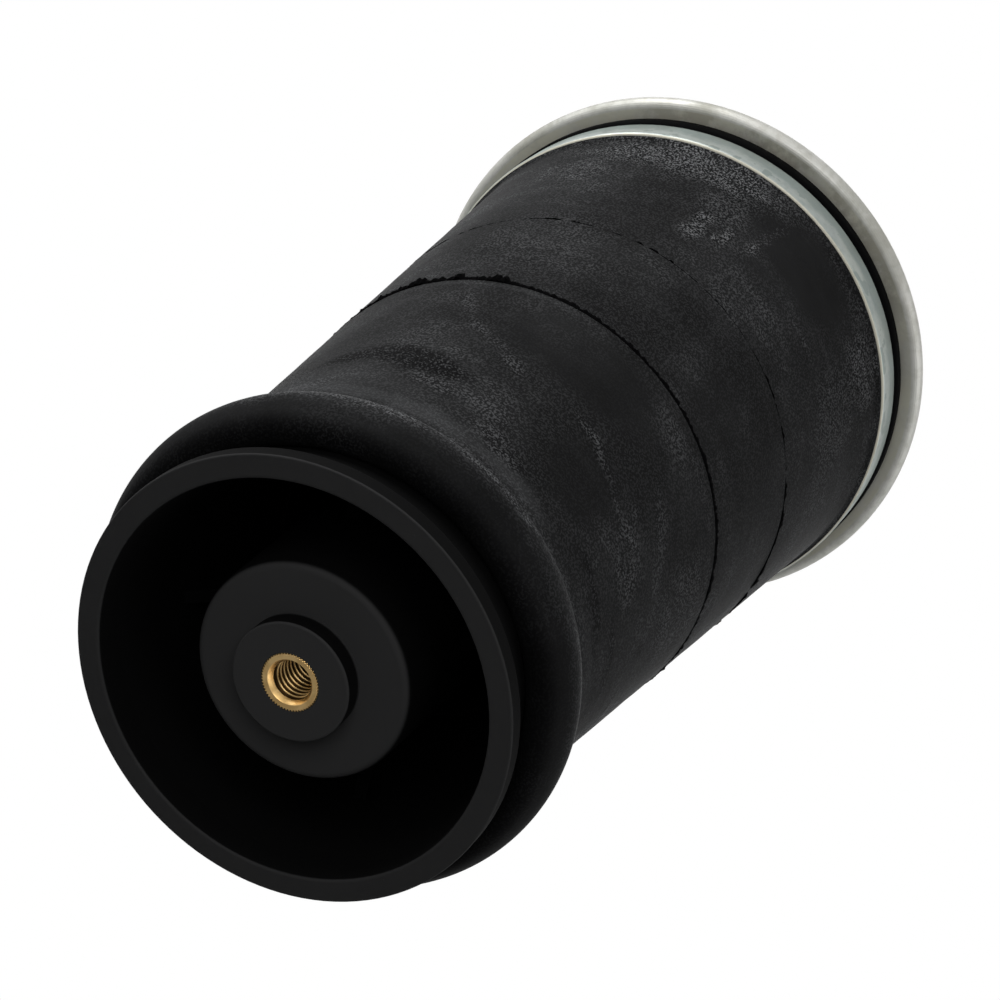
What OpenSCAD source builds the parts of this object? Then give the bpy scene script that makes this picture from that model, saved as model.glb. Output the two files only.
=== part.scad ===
// Rolling-lobe air suspension spring: a rubber sleeve crimped to a steel top plate and
// rolled down over a hollow moulded piston. Z is the spring's axis. The piston's rim
// stands on z = 0 and the top plate is up. All sizes are in millimetres.

/* [Piston] */
// Outer radius of the foot that the spring stands on
foot_r = 50; // [44:0.5:60]
// Height of the straight edge of the foot
foot_h = 4.4; // [3:0.1:6]
// Width of the flat ring at the mouth of the piston
rim_w = 5.4; // [3:0.1:7]
// Step from the foot in to the skirt
foot_step = 2.8; // [1:0.1:5]
// Height of the piston up to its deck
piston_h = 92; // [75:1:112]
// Taper of the skirt, inward over its whole height
skirt_taper = 10.8; // [8:0.1:12]
// Wall thickness of the skirt
skirt_wall = 3.2; // [2:0.1:5]
// Thickness of the deck that closes the piston
deck_t = 7; // [5:0.5:10]
// Radius of the central column
column_r = 24.6; // [20:0.1:28]
// Height of the column's lower face above the rim
column_z = 5.9; // [2:0.1:12]
// Wall thickness of the column
column_wall = 4.5; // [3:0.1:7]
// Radius of the raised boss round the threaded insert
boss_r = 13.4; // [10:0.1:18]
// Height of the boss face above the rim
boss_z = 0.6; // [0:0.1:2]
// Number of ribs between column and skirt
rib_n = 4; // [2:1:8]
// Thickness of a rib
rib_t = 3; // [2:0.1:5]
// Height of the lower edge of the ribs above the rim
rib_z = 30; // [15:1:50]
// Height of the ledge inside the skirt, where its wall gets thicker
ledge_z = 67; // [55:1:68]

/* [Threaded insert] */
// Outer radius of the brass insert
insert_r = 6.6; // [6:0.1:9]
// Length of the insert
insert_len = 18; // [12:0.5:24]
// Bore radius of the insert, the minor radius of its M10 thread
thread_r = 4.25; // [3:0.05:5]
// Radius of the counterbore at its mouth
mouth_r = 5.3; // [5.1:0.1:5.9]
// Depth of the counterbore
mouth_d = 1.4; // [0.5:0.1:3]

/* [Piston head] */
// Height of the head above the piston's deck
head_h = 18; // [15:0.5:24]
// Step from the top of the skirt in to the clamp land
land_step = 0.8; // [0.4:0.1:2]
// Number of head screws
screw_n = 4; // [3:1:6]
// Shank radius of a head screw
screw_r = 2.5; // [2:0.1:3]
// Length of a head screw under its head
screw_len = 24; // [20:0.5:30]
// Section radius of the head's sealing ring
seal_sec = 1.1; // [0.8:0.1:1.5]
// Width of the lower crimp ring
lower_ring_w = 9; // [6:0.5:12]

/* [Rubber sleeve] */
// Wall thickness of the sleeve
bag_wall = 2.3; // [1.8:0.1:3]
// Radial room between the foot and the outside of the lobe
lobe_over = 5.8; // [4.5:0.1:8]
// Height of the middle of the lobe
lobe_z = 20.7; // [19:0.1:40]
// Radius of curvature of the lobe's outer side
lobe_arc = 11.2; // [9:0.1:14]
// Angle below the middle at which the lobe curls under
curl_deg = 35; // [20:1:50]
// Air gap between the two layers of the sleeve just above the lobe
fold_gap = 1.3; // [1:0.1:4]
// Fillet radius between the lobe and the cone
neck_fillet = 9; // [5:0.5:12]

/* [Top end] */
// Height of the underside of the top plate's flange
plate_z = 226.6; // [190:0.1:280]
// Outer radius of the flange
flange_r = 70.2; // [66:0.1:90]
// Section radius of the flange's rolled edge
roll_r = 2.5; // [2:0.1:3]
// Sheet thickness of the top plate
plate_t = 3; // [2:0.1:4]
// Radius of the sunken deck of the top plate
dish_r = 43; // [40:0.5:50]
// Depth of the sunken deck
dish_d = 6.5; // [3:0.5:12]
// Step from the flange's edge in to the crimp ring
ring_step = 5.3; // [4:0.1:8]
// Wall thickness of the crimp ring
ring_t = 1.7; // [1:0.1:2.5]
// Height of the crimp ring
ring_h = 9.9; // [8:0.1:18]
// Rubber showing between the crimp ring and the flange
bead_h = 5.5; // [3:0.1:8]
// How far that rubber stands out past the crimp ring
bead_out = 0.5; // [0:0.1:1]
// Wall thickness of the welded collar inside the sleeve
collar_t = 3; // [2:0.1:5]

/* [Mounting studs] */
// Distance of each stud from the axis
stud_x = 34; // [32:0.5:37]
// Thread radius of a stud
stud_r = 4; // [3:0.5:5]
// Length of a stud above its collar
stud_len = 24; // [12:1:40]

/* [Air fitting] */
// Distance of the air port from the axis
port_y = 29.5; // [29:0.5:31]
// Bore radius of the fitting for the air line
tube_r = 3.05; // [2:0.05:4]
// Distance across the flats of the fitting's hexagon
hex_af = 17; // [15:1:19]
// Travel of the release collet
collet_travel = 1.8; // [1:0.1:2]

/* [Bump stop] */
// Outer radius of the bump stop
bump_r = 23; // [18:0.5:24]
// Gap from the bump stop to the top plate, the spring's travel in compression
bump_gap = 9; // [5:0.5:30]
// Number of waists moulded into the bump stop
bump_waists = 3; // [1:1:4]

/* [Clearances] */
// Seat clearance between the rubber and the hard parts
seat_gap = 0.2; // [0.1:0.05:0.3]
// Clearance between turned parts that plug together
plug_gap = 0.05; // [0.02:0.01:0.1]
// Edge rounding of moulded and pressed parts
edge = 0.9; // [0.3:0.1:1.2]

/* [Hidden] */
eps = 0.01;
round_fn = 96;
hole_fn = 64;
small_fn = 32;
arc_steps = 7;
fold_steps = 11;
soft = 0.3;

// Colours
c_rubber = [0.16, 0.16, 0.17];
c_plastic = [0.10, 0.10, 0.11];
c_foam = [0.62, 0.58, 0.48];
c_zinc = [0.66, 0.70, 0.70];
c_steel = [0.60, 0.60, 0.57];
c_brass = [0.80, 0.62, 0.30];
c_seal = [0.08, 0.08, 0.08];

// Piston, from the foot up. The skirt's line runs from the foot to the deck.
skirt_r = foot_r - foot_step;
foot_chamfer = 2;
skirt_z = foot_h + foot_chamfer;
skirt_k = skirt_taper / (piston_h - skirt_z);
top_r = skirt_r - skirt_taper;
rim_in_r = foot_r - rim_w;
deck_z = piston_h - deck_t;
deck_hole_r = 17;
hub_r = boss_r - 1.5;
hub_cap_t = 5;
hub_z = boss_z + insert_len + hub_cap_t;
seal_r = deck_hole_r + 4;
mouth_h = 3;
wall_z = foot_h + mouth_h;
wall_top = skirt_at(deck_z) - skirt_wall;
ledge_w = 1.2;
column_draft = 1.2;
column_floor_t = 5;
core_relief = 3;

// Head and the lower end of the sleeve
head_z = piston_h + head_h;
head_round = 1.5;
land_r = top_r - land_step;
land_start = 5;
lower_ring_z = piston_h + land_start;
lower_ring_t = 1.6;
land_over = 2;
cup_screw_r = 4;
cup_screw_len = 10;
lower_ring_in = land_r + bag_wall + 2 * seat_gap;
cup_t = 1.5;
cup_h = 8;

// Head screws, sunk in counterbores just inside the head's rounded edge
screw_head_r = screw_r * 1.6;
screw_head_h = 3;
screw_sunk = 0.4;
screw_side_gap = 0.3;
screw_seat_r = screw_head_r + screw_side_gap;
screw_seat_z = head_z - screw_head_h - screw_sunk;
screw_circle_r = land_r - head_round - screw_seat_r - screw_side_gap;
screw_boss_wall = 3.5;
screw_boss_floor = 3;
screw_tip_room = 1;
screw_chamfer = 0.6;
screw_hole_z = screw_seat_z - screw_len - screw_tip_room;
screw_boss_z = screw_hole_z - screw_boss_floor;

// Sleeve: outer cone, neck fillet, lobe and inner leg
flange_ring_r = flange_r - ring_step;
ring_in_r = flange_ring_r - ring_t;
ring_z = plate_z - bead_h - ring_h;
lobe_r = foot_r + lobe_over;
neck_rise = 14;
neck_z = lobe_z + neck_rise;
neck_r = skirt_at(neck_z) + seat_gap + 2 * bag_wall + fold_gap;
ring_bulge = 0.3;
sleeve_lip = 1;
bag_k = (ring_in_r + ring_bulge - neck_r) / (ring_z - neck_z);
lobe_c = [lobe_r - lobe_arc, lobe_z];
cone_n = [1, -bag_k] / norm([1, bag_k]);
leg_n = [1, skirt_k] / norm([1, skirt_k]);
collar_r = ring_in_r - bag_wall - 2 * seat_gap;

// Top plate and what stands on it
dish_z = plate_z - dish_d;
dish_top = dish_z + plate_t;
bush_r = 9;
bush_collar_r = 11;
bush_collar_h = 3;
bush_deep = 5;
bush_z = dish_z - bush_deep;
bush_top = dish_top + bush_collar_h;
spigot_r = 5.6;
washer_t = 1.2;
hex_h = 7;
body_r = 7.8;
body_h = 8;
body_z = bush_top + washer_t;
body_top = body_z + hex_h + body_h;
pocket_r = 5.4;
pocket_d = 9;
pocket_z = body_top - pocket_d;
fit_seal_sec = 1;
sleeve_t = 0.7;
grip_h = 3.6;
stop_d = 7;
tube_gap = 0.15;

// Bump stop, filling the room between the head and the plate
bump_z = head_z + cup_t;
bump_h = dish_z - bump_gap - bump_z;

function unit(v) = v / norm(v);
function polar(c, r, a) = c + r * [cos(a), sin(a)];
function arc(c, r, a0, a1, n) = [for (i = [0 : n]) polar(c, r, a0 + (a1 - a0) * i / n)];
function flat(p) = [p[0], p[1]];
function backwards(p) = [for (i = [len(p) - 1 : -1 : 0]) p[i]];

// The points of one corner b between a and c, rounded with radius r
function corner(a, b, c, r) =
    r <= 0 ? [b] :
    let (
        u = unit(a - b),
        v = unit(c - b),
        half = acos(u * v) / 2,
        m = b + unit(u + v) * r / sin(half),
        s = b + u * r / tan(half) - m,
        e = b + v * r / tan(half) - m,
        a0 = atan2(s.y, s.x),
        turn = atan2(s.x * e.y - s.y * e.x, s * e)
    )
    arc(m, r, a0, a0 + turn, arc_steps);

// A closed outline from corners [radius, height, rounding]
function outline(p) = [
    for (i = [0 : len(p) - 1])
        each corner(flat(p[(i + len(p) - 1) % len(p)]), flat(p[i]),
                    flat(p[(i + 1) % len(p)]), p[i][2])
];

module turned(p) {
    rotate_extrude($fn = round_fn) polygon(outline(p));
}

// A straight tube between two heights
module tube(r_out, r_in, z0, z1) {
    turned([[r_in, z0, 0], [r_out, z0, 0], [r_out, z1, 0], [r_in, z1, 0]]);
}

// A ring of round section
module o_ring(r, z, sec) {
    rotate_extrude($fn = round_fn) translate([r, z]) circle(r = sec, $fn = 24);
}

// A saw-tooth groove round radius r, to be cut: the rubber is pressed into it
module barb_groove(r, depth, z) {
    turned([[r - depth, z, 0], [r + 1, z - 1, 0], [r + 1, z + 0.8, 0]]);
}

module around(n, first = 0) {
    for (i = [0 : n - 1]) rotate([0, 0, first + 360 * i / n]) children();
}

// Outer and inner radius of the piston's skirt at height z
function skirt_at(z) = skirt_r - skirt_k * (z - skirt_z);
function wall_at(z) = rim_in_r + (wall_top - rim_in_r) * (z - wall_z) / (deck_z - wall_z);

// The sleeve's surface, moved in from the outer side by off: down the cone, round the
// neck fillet and the lobe, under the curl and up the leg that lies along the piston
function cone_at(z, off) = neck_r + bag_k * (z - neck_z) - off * norm([1, bag_k]);
fillet_b = cone_at(lobe_z, 0) + neck_fillet * norm([1, bag_k]) - lobe_c[0];
fillet_d = lobe_arc + neck_fillet;
fillet_dz = (sqrt(pow(bag_k * fillet_b, 2)
             - (1 + bag_k * bag_k) * (fillet_b * fillet_b - fillet_d * fillet_d))
             - bag_k * fillet_b) / (1 + bag_k * bag_k);
fillet_c = [lobe_c[0] + fillet_b + bag_k * fillet_dz, lobe_z + fillet_dz];
fillet_a = atan2(fillet_dz, fillet_b + bag_k * fillet_dz);
cone_a = atan2(-cone_n[1], -cone_n[0]);
curl_n = [cos(curl_deg), -sin(curl_deg)];
curl_p = lobe_c + lobe_arc * curl_n;
leg_c = [skirt_r, skirt_z] + seat_gap * leg_n;
curl_r = ((curl_p - leg_c) * leg_n) / (1 + curl_n * leg_n);
curl_c = curl_p - curl_r * curl_n;
leg_a = -180 + atan2(leg_n[1], leg_n[0]);

function leg_at(z, off) = skirt_at(z) + (seat_gap + off) / leg_n[0];
function sleeve_line(off) = concat(
    [[cone_at(ring_z - sleeve_lip, off), ring_z - sleeve_lip]],
    arc(fillet_c, neck_fillet + off, cone_a, fillet_a + 180, fold_steps),
    arc(lobe_c, lobe_arc - off, fillet_a, -curl_deg, fold_steps),
    arc(curl_c, curl_r - off, -curl_deg, leg_a, fold_steps),
    [[leg_at(piston_h, off), piston_h]]
);

// Pressed plate: a sunken deck, a flat flange and an edge rolled up and back
module top_plate() {
    bend_r = 2;
    shift = 1;
    dish_out = dish_r + dish_d;
    roll_in = flange_r - 2 * roll_r;
    roll_top = plate_z + 2 * roll_r;
    color(c_steel)
    difference() {
        turned([
            [0, dish_z, 0], [dish_r, dish_z, bend_r], [dish_out, plate_z, bend_r],
            [flange_r, plate_z, roll_r], [flange_r, roll_top, roll_r],
            [roll_in, roll_top, roll_r * 0.6], [roll_in, plate_z + plate_t, 0.2],
            [dish_out - shift, plate_z + plate_t, bend_r], [dish_r - shift, dish_top, bend_r],
            [0, dish_top, 0]
        ]);
        translate([0, port_y, dish_z - 1])
            cylinder(r = bush_r + plug_gap, h = plate_t + 2, $fn = hole_fn);
    }
}

// The collar welded under the plate, barbed where the rubber is squeezed on to it
module clamp_collar() {
    barb_n = 4;
    barb = 0.6;
    pitch = ring_h / barb_n;
    below = 2;
    color(c_steel)
    difference() {
        tube(collar_r, collar_r - collar_t, ring_z - below, plate_z);
        for (i = [0 : barb_n - 1]) barb_groove(collar_r, barb, ring_z + (i + 0.2) * pitch);
    }
}

module crimp_ring() {
    color(c_zinc)
    turned([
        [ring_in_r, ring_z, soft], [flange_ring_r, ring_z, edge],
        [flange_ring_r, ring_z + ring_h, edge], [ring_in_r, ring_z + ring_h, soft]
    ]);
}

module stud() {
    weld_r = stud_r + 3;
    weld_top = dish_top + 1.6;
    chamfer = 1;
    tip_z = dish_top + stud_len + chamfer;
    turned([
        [0, dish_top, 0], [weld_r, dish_top, soft], [weld_r, weld_top, soft],
        [stud_r, weld_top, 0], [stud_r, tip_z - chamfer, 0],
        [stud_r - chamfer, tip_z, 0], [0, tip_z, 0]
    ]);
}

module mounting_studs() {
    color(c_zinc)
    for (side = [-1, 1]) translate([side * stud_x, 0, 0]) stud();
}

module at_port() {
    translate([0, port_y, 0]) children();
}

module port_bush() {
    color(c_zinc)
    at_port()
    turned([
        [spigot_r + plug_gap, bush_z, soft], [bush_r, bush_z, edge], [bush_r, dish_top, 0],
        [bush_collar_r, dish_top, soft], [bush_collar_r, bush_top, edge],
        [spigot_r + plug_gap, bush_top, soft]
    ]);
}

module fitting_washer() {
    color(c_seal)
    at_port() tube(hex_af / 2 - soft, spigot_r + plug_gap, bush_top, body_z);
}

// The hexagon, its corners turned off at both ends
module chamfered_hexagon() {
    flat_r = hex_af / 2 + 0.4;
    corner_r = hex_af / 2 + 1.5;
    chamfer = 0.8;
    hex_top = body_z + hex_h;
    intersection() {
        translate([0, 0, body_z]) cylinder(d = hex_af / cos(30), h = hex_h, $fn = 6);
        turned([
            [0, body_z, 0], [flat_r, body_z, 0], [corner_r, body_z + chamfer, 0],
            [corner_r, hex_top - chamfer, 0], [flat_r, hex_top, 0], [0, hex_top, 0]
        ]);
    }
}

// Brass push-in body: spigot, hexagon and a round head that holds the tube's grip
module fitting_body() {
    stop_z = pocket_z - stop_d;
    spigot_z = bush_z + 1;
    stop_w = 1;
    color(c_brass)
    at_port()
    difference() {
        union() {
            turned([
                [0, spigot_z, 0], [spigot_r, spigot_z, 0.6], [spigot_r, body_z, 0],
                [body_r, body_z, soft], [body_r, body_top, edge], [0, body_top, 0]
            ]);
            chamfered_hexagon();
        }
        translate([0, 0, pocket_z]) cylinder(r = pocket_r, h = pocket_d + 1, $fn = hole_fn);
        translate([0, 0, stop_z]) cylinder(r = tube_r, h = body_top - stop_z, $fn = hole_fn);
        translate([0, 0, bush_z]) cylinder(r = tube_r - stop_w, h = body_top - bush_z, $fn = hole_fn);
    }
}

module fitting_seal() {
    color(c_seal)
    at_port() o_ring(tube_r + tube_gap + fit_seal_sec, pocket_z + fit_seal_sec, fit_seal_sec);
}

// Spring-steel ring with teeth that lean down and in, to grip the tube
module fitting_grab_ring() {
    low = pocket_z + 2 * fit_seal_sec + 0.5;
    band = 0.9;
    tip_r = tube_r + 0.1;
    root_r = pocket_r - band + eps;
    tooth_n = 8;
    slit = 0.6;
    color(c_steel)
    at_port()
    difference() {
        union() {
            tube(pocket_r - plug_gap, pocket_r - band, low, low + band);
            turned([
                [tip_r, low, 0], [root_r, low + band / 2, 0],
                [root_r, low + band, 0], [tip_r, low + band / 2, 0]
            ]);
        }
        around(tooth_n)
            translate([tip_r - slit, -slit / 2, low - 1]) cube([pocket_r - tip_r, slit, 3]);
    }
}

// Pressed retaining sleeve in the mouth of the body: the collet runs in it
module fitting_sleeve() {
    color(c_brass)
    at_port()
    tube(pocket_r - plug_gap, pocket_r - plug_gap - sleeve_t, pocket_z + grip_h, body_top);
}

// Release collet: a sleeve with split fingers below and a flange to press above
module fitting_collet() {
    run_r = pocket_r - 2 * plug_gap - sleeve_t;
    in_r = tube_r + tube_gap;
    press_r = run_r + 1.6;
    low = pocket_z + grip_h + collet_travel;
    press_z = body_top + collet_travel + 0.2;
    press_t = 1.8;
    slit = 0.8;
    slit_h = 2;
    color(c_plastic)
    at_port()
    difference() {
        turned([
            [in_r, low, soft], [run_r - soft, low, 0], [run_r, low + slit, 0], [run_r, press_z, 0],
            [press_r, press_z, soft], [press_r, press_z + press_t, 0.5],
            [in_r, press_z + press_t, soft]
        ]);
        around(2, 45)
            translate([-run_r - 1, -slit / 2, low - 1]) cube([2 * run_r + 2, slit, slit_h + 1]);
    }
}

// The whole sleeve is one closed band, turned round the axis
module bellows() {
    bead_r = flange_ring_r + bead_out;
    bead_top = plate_z - seat_gap;
    bead_low = ring_z + ring_h + seat_gap;
    bead_soft = 1.6;
    pinch_z = ring_z - 0.4;
    leg_in = land_r + seat_gap;
    leg_low = piston_h + land_start / 2;
    leg_top = lower_ring_z + lower_ring_w + land_over;
    band = concat(
        [[collar_r + seat_gap, bead_top]],
        corner([collar_r, bead_top], [bead_r, bead_top], [bead_r, bead_low], bead_soft),
        corner([bead_r, bead_top], [bead_r, bead_low], [ring_in_r, bead_low], bead_soft),
        [[ring_in_r - seat_gap, bead_low], [ring_in_r - seat_gap, pinch_z]],
        sleeve_line(0),
        [
            [leg_in, leg_low], [leg_in, leg_top],
            [leg_in + bag_wall, leg_top], [leg_in + bag_wall, leg_low]
        ],
        backwards(sleeve_line(bag_wall)),
        [[collar_r + seat_gap, pinch_z]]
    );
    color(c_rubber)
    rotate_extrude($fn = round_fn) polygon(band);
}

module lower_crimp_ring() {
    color(c_zinc)
    turned([
        [lower_ring_in, lower_ring_z, soft], [lower_ring_in + lower_ring_t, lower_ring_z, 0.7],
        [lower_ring_in + lower_ring_t, lower_ring_z + lower_ring_w, 0.7],
        [lower_ring_in, lower_ring_z + lower_ring_w, soft]
    ]);
}

// Skirt, deck and column in one outline, then ribs, screw bosses and the insert's hub
module piston() {
    column_top_r = column_r + column_draft;
    core_r = column_r - column_wall;
    floor_z = column_z + column_floor_t;
    groove_r = seal_sec + 0.4;
    web_fillet = 3;
    color(c_plastic)
    difference() {
        union() {
            turned([
                [rim_in_r, 0, edge], [foot_r, 0, edge / 2], [foot_r, foot_h, 1.2],
                [skirt_r, skirt_z, 1.6], [top_r, piston_h, 0.8],
                [deck_hole_r, piston_h, 0.5], [deck_hole_r, deck_z, 0],
                [core_r, deck_z - core_relief, 0], [core_r, floor_z, 1.5],
                [0, floor_z, 0], [0, column_z, 0], [column_r, column_z, 1.8],
                [column_top_r, deck_z, web_fillet], [wall_top - ledge_w, deck_z, web_fillet],
                [wall_at(ledge_z) - ledge_w, ledge_z, 0.5], [wall_at(ledge_z), ledge_z, soft],
                [rim_in_r, wall_z, 2]
            ]);
            turned([
                [0, boss_z, 0], [boss_r, boss_z, 0.5], [boss_r, column_z + 1, 0],
                [hub_r, column_z + 2, 0], [hub_r, hub_z, 0.8], [0, hub_z, 0]
            ]);
            around(rib_n) rib();
            around(screw_n, 45) screw_boss();
        }
        translate([0, 0, boss_z - 1])
            cylinder(r = insert_r + plug_gap, h = insert_len + 1, $fn = hole_fn);
        around(screw_n, 45)
            translate([screw_circle_r, 0, screw_hole_z])
            cylinder(r = screw_r + plug_gap, h = piston_h, $fn = small_fn);
        tube(seal_r + groove_r, seal_r - groove_r, piston_h - 2 * seal_sec, piston_h + 1);
    }
}

// One rib from the column out into the skirt's wall, its lower edge dished
module rib() {
    half_wall = skirt_wall / 2;
    dished = 5;
    run_in = 6;
    root_r = column_r - 1;
    top_z = deck_z + 1;
    rotate([90, 0, 0]) translate([0, 0, -rib_t / 2]) linear_extrude(rib_t)
    polygon([
        [root_r, rib_z], [column_r + run_in, rib_z + dished],
        [skirt_at(rib_z) - skirt_wall - run_in, rib_z + dished], [skirt_at(rib_z) - half_wall, rib_z],
        [skirt_at(deck_z) - half_wall, top_z], [root_r, top_z]
    ]);
}

module screw_boss() {
    room = skirt_at(deck_z) - screw_circle_r - 0.5;
    translate([screw_circle_r, 0, screw_boss_z])
        cylinder(r = min(screw_r + screw_boss_wall, room), h = deck_z - screw_boss_z + 1, $fn = hole_fn);
}

module thread_insert() {
    groove = 0.5;
    groove_w = 1.2;
    grooves = [0.36, 0.68] * insert_len;
    color(c_brass)
    difference() {
        translate([0, 0, boss_z]) cylinder(r = insert_r, h = insert_len, $fn = hole_fn);
        translate([0, 0, boss_z - 1]) cylinder(r = thread_r, h = insert_len + 2, $fn = hole_fn);
        translate([0, 0, boss_z - 1]) cylinder(r = mouth_r, h = mouth_d + 1, $fn = hole_fn);
        for (z = grooves)
            tube(insert_r + 1, insert_r - groove, boss_z + z, boss_z + z + groove_w);
    }
}

// Cap of the piston: a spigot in the deck's hole and a barbed land for the rubber
module piston_head() {
    barb = 0.5;
    barbs = [0.25, 0.5, 0.75] * lower_ring_w;
    spigot_out = deck_hole_r - plug_gap;
    cup_hole_z = head_z - cup_screw_len - 1;
    color(c_plastic)
    difference() {
        turned([
            [0, deck_z + 1, 0], [spigot_out, deck_z + 1, 0.8], [spigot_out, piston_h, 0],
            [land_r, piston_h, 0.5], [land_r, head_z, head_round], [0, head_z, 0]
        ]);
        for (z = barbs) barb_groove(land_r, barb, lower_ring_z + z);
        around(screw_n, 45) translate([screw_circle_r, 0, 0]) {
            translate([0, 0, piston_h - 1])
                cylinder(r = screw_r + plug_gap, h = head_h + 2, $fn = small_fn);
            translate([0, 0, screw_seat_z]) cylinder(r = screw_seat_r, h = head_h, $fn = small_fn);
        }
        translate([0, 0, cup_hole_z])
            cylinder(r = cup_screw_r + plug_gap, h = head_h, $fn = small_fn);
    }
}

module head_seal() {
    color(c_seal)
    o_ring(seal_r, piston_h - seal_sec, seal_sec);
}

module head_screws() {
    color(c_zinc)
    around(screw_n, 45) translate([screw_circle_r, 0, screw_seat_z])
        socket_screw(screw_r, screw_len, screw_head_r, screw_head_h);
}

module bump_stop_cup() {
    hole_r = cup_screw_r + plug_gap;
    in_r = bump_r + seat_gap;
    out_r = in_r + cup_t;
    flare = 0.8;
    cup_top = head_z + cup_h;
    color(c_steel)
    turned([
        [hole_r, head_z, 0], [out_r, head_z, 2], [out_r + flare, cup_top, 0.6],
        [in_r + flare, cup_top, 0.5], [in_r, bump_z, 1], [hole_r, bump_z, 0]
    ]);
}

module bump_stop_screw() {
    color(c_zinc)
    translate([0, 0, bump_z])
        socket_screw(cup_screw_r, cup_screw_len + cup_t, 2 * cup_screw_r, 3.2);
}

// A screw with a hexagon socket, its head standing on z = 0 and its shank below
module socket_screw(shank_r, length, head_r, height) {
    key_d = height * 0.6;
    key_r = head_r * 0.6;
    difference() {
        turned([
            [0, -length, 0], [shank_r - screw_chamfer, -length, 0],
            [shank_r, screw_chamfer - length, 0], [shank_r, 0, 0], [head_r, 0, soft],
            [head_r, height, 0.8], [0, height, 0]
        ]);
        translate([0, 0, height - key_d]) cylinder(r = key_r, h = height, $fn = 6);
    }
}

// Foam bumper with moulded waists, hollow up its middle
module bump_stop() {
    foot = cup_h + 3;
    bore = 2 * cup_screw_r + 0.6;
    nose = bump_r * 0.8;
    nose_h = 6;
    waist = 4;
    bump_top = bump_z + bump_h;
    pitch = (bump_h - foot - nose_h) / bump_waists;
    waists = [
        for (i = [0 : bump_waists - 1])
            let (z = bump_z + foot + i * pitch, r = bump_r - (bump_r - nose) * i / bump_waists)
            each [
                [r - waist, z + 1, 2], [r - waist, z + waist, 2],
                [r, z + waist + 3, 3], [r, z + pitch - 2, 3]
            ]
    ];
    color(c_foam)
    turned(concat(
        [[bore, bump_z, 0.5], [bump_r - 0.5, bump_z, 1.5], [bump_r - soft, bump_z + foot - 2, 2]],
        waists,
        [[nose - 2, bump_top, 4], [nose_h, bump_top, 1.5], [bore, bump_top - nose_h - 2, 1]]
    ));
}

top_plate();
clamp_collar();
crimp_ring();
mounting_studs();
port_bush();
fitting_washer();
fitting_body();
fitting_seal();
fitting_grab_ring();
fitting_sleeve();
fitting_collet();
bellows();
lower_crimp_ring();
piston();
thread_insert();
piston_head();
head_seal();
head_screws();
bump_stop_cup();
bump_stop_screw();
bump_stop();
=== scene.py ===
"""Looks of a rolling-lobe air suspension spring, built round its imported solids.

The rubber sleeve, the threaded insert and the threaded studs are modelled here. Every other
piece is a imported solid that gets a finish. All sizes are in metres, and +Z is the spring's axis.
"""

import logging
import math
from collections.abc import Callable, Iterator
from contextlib import contextmanager
from dataclasses import dataclass
from enum import Enum

import bmesh
import bpy
from mathutils import Matrix, Quaternion, Vector, noise

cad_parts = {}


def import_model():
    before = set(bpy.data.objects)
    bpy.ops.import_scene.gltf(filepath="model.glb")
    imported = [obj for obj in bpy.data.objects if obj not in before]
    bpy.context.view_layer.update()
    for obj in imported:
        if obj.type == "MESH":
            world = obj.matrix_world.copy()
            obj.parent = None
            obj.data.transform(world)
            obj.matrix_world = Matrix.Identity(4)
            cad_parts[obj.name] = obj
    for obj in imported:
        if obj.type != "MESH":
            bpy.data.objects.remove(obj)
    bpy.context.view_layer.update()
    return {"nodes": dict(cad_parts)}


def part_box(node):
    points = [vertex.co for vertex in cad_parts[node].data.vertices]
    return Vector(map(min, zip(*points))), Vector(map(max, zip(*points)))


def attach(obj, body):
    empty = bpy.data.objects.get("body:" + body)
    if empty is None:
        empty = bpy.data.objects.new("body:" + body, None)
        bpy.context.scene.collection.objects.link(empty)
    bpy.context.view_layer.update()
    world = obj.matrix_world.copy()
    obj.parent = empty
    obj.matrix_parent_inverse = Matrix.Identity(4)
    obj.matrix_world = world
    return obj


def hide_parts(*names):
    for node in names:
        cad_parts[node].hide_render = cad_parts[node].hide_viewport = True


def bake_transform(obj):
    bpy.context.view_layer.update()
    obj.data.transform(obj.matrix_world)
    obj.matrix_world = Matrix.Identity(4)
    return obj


log = logging.getLogger("air_spring")
MM = 0.001
REST = "rest_place"
DUST = "dust"
MIX_FACTOR, MIX_FIRST, MIX_SECOND, MIX_RESULT = 0, 6, 7, 2


class Slot(Enum):
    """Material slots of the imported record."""

    SLEEVE = "sleeve_rubber"
    ZINC = "zinc"
    BRASS = "brass"


class Body(Enum):
    """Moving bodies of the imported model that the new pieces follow."""

    PISTON = "piston"
    LOBE = "lobe"
    TOP = "top"


def operator(operation: str, reflected: bool = False) -> Callable:
    """Makes a method of Value that adds one Math node.

    Args:
        operation: what the node does.
        reflected: whether the other value comes first.

    Returns:
        The method.
    """
    def method(value: "Value", other: "Value | float" = 0.0) -> "Value":
        """Adds the node."""
        first, second = (other, value) if reflected else (value, other)
        return value.tree.math(operation, first, second)

    return method


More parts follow.
